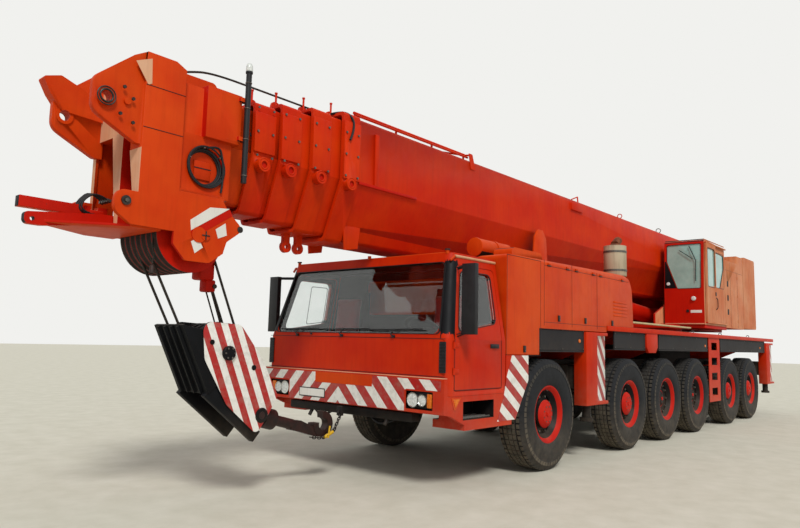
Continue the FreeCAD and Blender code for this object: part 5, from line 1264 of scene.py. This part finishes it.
# Deck: planks along the edge, lashing eyes, bolts and foot strip of the side webs
deck_trim = Piece()
for side in both:
    for number in range(3):
        high_x = 600 - 1180 * number
        deck_trim.put(block((high_x - 1160, side * 1330, 1936), (high_x, side * 1436, 1962), 3), plank_wood)
    for x in (-3400, -5200, -7400):
        deck_trim.put(hoop((x, side * 1300, 1884), (1, 0, 0.3), 28, 7, 18, 6), bolt_steel)
    # The left strip is 5 mm thick and the right one 9 mm
    near, far = (1437, 1442) if side > 0 else (-1435, -1444)
    for x0, x1, z0 in ((1560, 2800, 1480), (-640, 560, 1520), (-3850, -1240, 1520), (-8360, -4700, 1520)):
        steps_count = max(2, int((x1 - x0) / 600))
        for number in range(steps_count + 1):
            x = x0 + 24 + (x1 - x0 - 48) * number / steps_count
            for z in (z0 + 30, 1755):
                deck_trim.put(bar((x, side * 1439, z), (x, side * 1446, z), 9, 6), bolt_steel)
        deck_trim.put(block((x0 + 4, near, z0 + 4), (x1 - 4, far, z0 + 16), 2), black_coat)
deck_trim.done("deck_trim", "carrier")

# Under the frame: air tanks with straps, drive shafts with their joints
under = Piece()
for side in both:
    for x in (-2650, -4500, -8000):
        tank = [(0, 0), (8, 60), (40, 112), (70, 124), (530, 124), (560, 112), (592, 60), (600, 0)]
        under.put(turned(tank, (x, side * 640, 860), ahead, 28), black_coat)
        for strap in (150, 450):
            under.put(turned([(-14, 123), (-14, 129), (14, 129), (14, 123)], (x + strap, side * 640, 860), ahead, 28,
                             closed=True), bolt_steel)
            under.put(block((x + strap - 14, side * 448, 930), (x + strap + 14, side * 560, 960), 3), black_coat)
for start, end in ((-240, -1360), (-1840, -2960), (-3440, -5120), (-5600, -6720), (2290, 240)):
    under.put(bar((start, 0, 690), (end, 0, 690), 46, 20), chassis_coat)
    for x in (start, end):
        under.put(bar((x - 34, 0, 690), (x + 34, 0, 690), 68, 20), cast_iron)
under.done("under_frame", "carrier")

# Rear lamps, and amber lamps along the deck's edge
rear = Piece()
for side in both:
    for inner, finish in ((1052, red_lens), (1150, amber_lens), (1250, clear_lens)):
        rear.put(block((-9148, side * inner, 1024), (-9126, side * (inner + 94), 1116), 8), finish)
    rear.put(block((-9134, side * 1050, 1020), (-9124, side * 1350, 1120), 3), black_plastic)
    for x in (1700, -3700, -7900):
        rear.put(turned([(0, 0), (0, 26), (10, 22), (12, 0)], (x, side * 1441, 1620), (0, side, 0), 18), amber_lens)
rear.done("rear_lamps", "carrier")

# Crane cab: window rubber, wiper, lamps, dark corner plate
crane_trim = Piece()
lean = Vector((-crane_lean, 0, 1)).normalized()
out = Vector((1, 0, crane_lean)).normalized()
crane_plane = plane(crane_front_x, 0, 2790, across, lean, out)
pane = [(870, 0), (1330, 0), (1330, 912), (655, 912), (655, 572)]
crane_trim.put(window_strip(pane, 26, 8, 10, 7, crane_plane), seal_rubber)
corner = plate([(612, 6, 0), (850, 6, 0), (636, 572, 0), (612, 572, 0)], (0, 0, 4))
crane_trim.put(laid(corner, crane_plane), black_coat)
for start, end, radius in (((1100, 880, 12), (1240, 560, 22), 8), ((1240, 560, 22), (1235, 140, 14), 8),
                           ((905, 800, 12), (1180, 600, 20), 7)):
    crane_trim.put(bar(crane_plane @ Vector(start), crane_plane @ Vector(end), radius, 8), black_plastic)
crane_trim.put(turned([(0, 0), (0, 34), (26, 36), (34, 30), (36, 0)], crane_plane @ Vector((690, 96, 2)), out, 20),
               clear_lens)
crane_trim.put(turned([(0, 0), (0, 44), (30, 46), (44, 34), (48, 0)], (-3900, 1190, 2575), ahead, 24), clear_lens)
crane_trim.put(cross_plate(rectangle(1120, 2286, 1340, 2340), crane_front_x, crane_front_x + 4, 8, 1), white_coat)
crane_trim.put(cross_plate(rectangle(1040, 2296, 1090, 2350), crane_front_x, crane_front_x + 12, 6, 1), black_plastic)
crane_trim.put(block((-3902, 606, 2058), (-3895, 1384, 2074), 2), cream)
crane_trim.put(block((-5340, 1389, 2058), (-3906, 1394, 2072), 2), cream)
crane_trim.put(bar((-5330, 1386, 3792), (-3960, 1386, 3792), 10, 8), upper_faded)
crane_trim.put(bar((-3958, 620, 3790), (-3958, 1380, 3790), 9, 8), seal_rubber)
crane_trim.put(turned([(0, 0), (0, 60), (14, 58), (60, 46), (78, 0)], (-4800, 1000, 3790), upward, 24), amber_lens)
side_plane = plane(0, upper_half, 0, ahead, upward, across)
crane_trim.put(window_strip(rectangle(-5265, 2860, -4600, 3600), 40, 8, 10, 6, side_plane), seal_rubber)
crane_trim.done("crane_cab_trim", "upper")

crane_door = Piece()
door_side = plane(0, 1436, 0, ahead, upward, across)
crane_door.put(window_strip(rectangle(-4500, 2830, -4030, 3620), 50, 8, 12, 6, door_side), seal_rubber)
crane_door.put(hose([(-4520, 1437, 2620), (-4520, 1470, 2610), (-4520, 1472, 2500), (-4520, 1470, 2390),
                     (-4520, 1437, 2380)], 9), black_plastic)
crane_door.put(block((-4550, 1436, 2660), (-4490, 1446, 2740), 4), black_plastic)
crane_door.done("crane_door_trim", "crane_door")

# Upper: step holes on the left side drawn as black plates of painted shade, panel seams, counterweight joints, rope
# on the winch
upper_trim = Piece()
# Black plates where the step holes are: painted shade in the holes
for z in (3000, 2690, 2380):
    upper_trim.put(side_plate(rectangle(-5600, z - 62, -5500, z + 62), 1389, 1393, 14, 1), black_coat)
for line in (((-6760, 3300), (-5380, 3300)), ((-5760, 2050), (-5760, 3500)), ((-6300, 2050), (-6300, 3290))):
    upper_trim.put(seam(line, upper_half, 2), seal_rubber)
for z in (2200, 2760, 3180):
    upper_trim.put(bar((-6292, 1392, z - 30), (-6292, 1392, z + 30), 9, 10), upper_faded)
for z in (2480, 2900, 3320):
    upper_trim.put(block((-7852, -1200, z), (-7849, 1200, z + 6)), seal_rubber)
for side in both:
    upper_trim.put(hoop((-7300, side * 900, 3752), ahead, 60, 14, 24, 8), pin_steel)
low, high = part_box("hoist_winch")
drum_half = min(abs(low[1]), abs(high[1])) * 1000 - 70
turns = int(drum_half / 12)
wraps = []
for number in range(-turns, turns):
    wraps += [(number * 12, 212), (number * 12 + 6, 222)]
wraps = [(wraps[0][0], 205)] + wraps + [(wraps[-1][0] + 6, 205)]
upper_trim.put(turned(wraps, (-6500, (low[1] + high[1]) * 500, 3060), across, 28, closed=True), wire_rope)
slew_x = -4200
for x, y in around(36, 800):
    upper_trim.put(bar((slew_x + x, y, 2040), (slew_x + x, y, 2058), 16, 6), bolt_steel)
upper_trim.done("upper_trim", "upper")


# Camera where the photograph was taken: eye height, slightly rolled
camera_data = bpy.data.cameras.new("camera")
camera_data.sensor_width = 36.0
camera_data.lens = 666.2 * 36.0 / 800.0
camera_data.clip_end = 400.0
camera = placed_object("camera", camera_data)
yaw, pitch, roll = math.radians(221.41), math.radians(6.65), math.radians(1.49)
forward = Vector((math.cos(yaw) * math.cos(pitch), math.sin(yaw) * math.cos(pitch), math.sin(pitch)))
level = forward.cross(up).normalized()
above = level.cross(forward).normalized()
to_right = level * math.cos(roll) + above * math.sin(roll)
to_top = above * math.cos(roll) - level * math.sin(roll)
eye = at(10204.0, 5638.0, 1548.0)
camera.matrix_world = plane(*eye, to_right, to_top, -forward)
bpy.context.scene.camera = camera

# Pale floor
floor_mesh = bpy.data.meshes.new("floor")
shape = bmesh.new()
bmesh.ops.create_grid(shape, x_segments=1, y_segments=1, size=90.0)
shape.to_mesh(floor_mesh)
shape.free()
floor = placed_object("floor", floor_mesh)
ground, tree, shader, place = new_material("pale_floor")
tree.links.new(ramp(tree, noise(tree, place, 330.0, 8.0),
                    [(0.3, hex_colour("#c6c1ae")), (0.7, hex_colour("#d3cebd"))]),
               shader.inputs["Base Color"])
shader.inputs["Roughness"].default_value = 0.95
floor_mesh.materials.append(ground)

# Soft daylight: a bright overcast dome and a wide, low-contrast sun from the front left
world = bpy.data.worlds.new("studio")
bpy.context.scene.world = world
world.use_nodes = True
tree = world.node_tree
background = tree.nodes["Background"]
background.inputs["Color"].default_value = hex_colour("#eef2f6")
background.inputs["Strength"].default_value = 0.6
white = add(tree, "ShaderNodeBackground", {"Color": hex_colour("#f1f1ee"), "Strength": 1.0})
ray = add(tree, "ShaderNodeLightPath")
seen = ray.outputs["Is Camera Ray"]
for kind in ("Is Glossy Ray", "Is Transmission Ray"):
    seen = add(tree, "ShaderNodeMath", {"operation": "MAXIMUM"}, {0: seen, 1: ray.outputs[kind]}).outputs[0]
sky = add(tree, "ShaderNodeMixShader", links={0: seen, 1: background.outputs[0], 2: white.outputs[0]})
tree.links.new(sky.outputs[0], tree.nodes["World Output"].inputs["Surface"])
sun_data = bpy.data.lights.new("sun", "SUN")
sun_data.energy = 2.15
sun_data.angle = math.radians(14.0)
sun = placed_object("sun", sun_data)
sun.rotation_euler = Vector((0.45, 0.62, 0.75)).to_track_quat("Z", "Y").to_euler()
bpy.context.scene.view_settings.view_transform = "Standard"
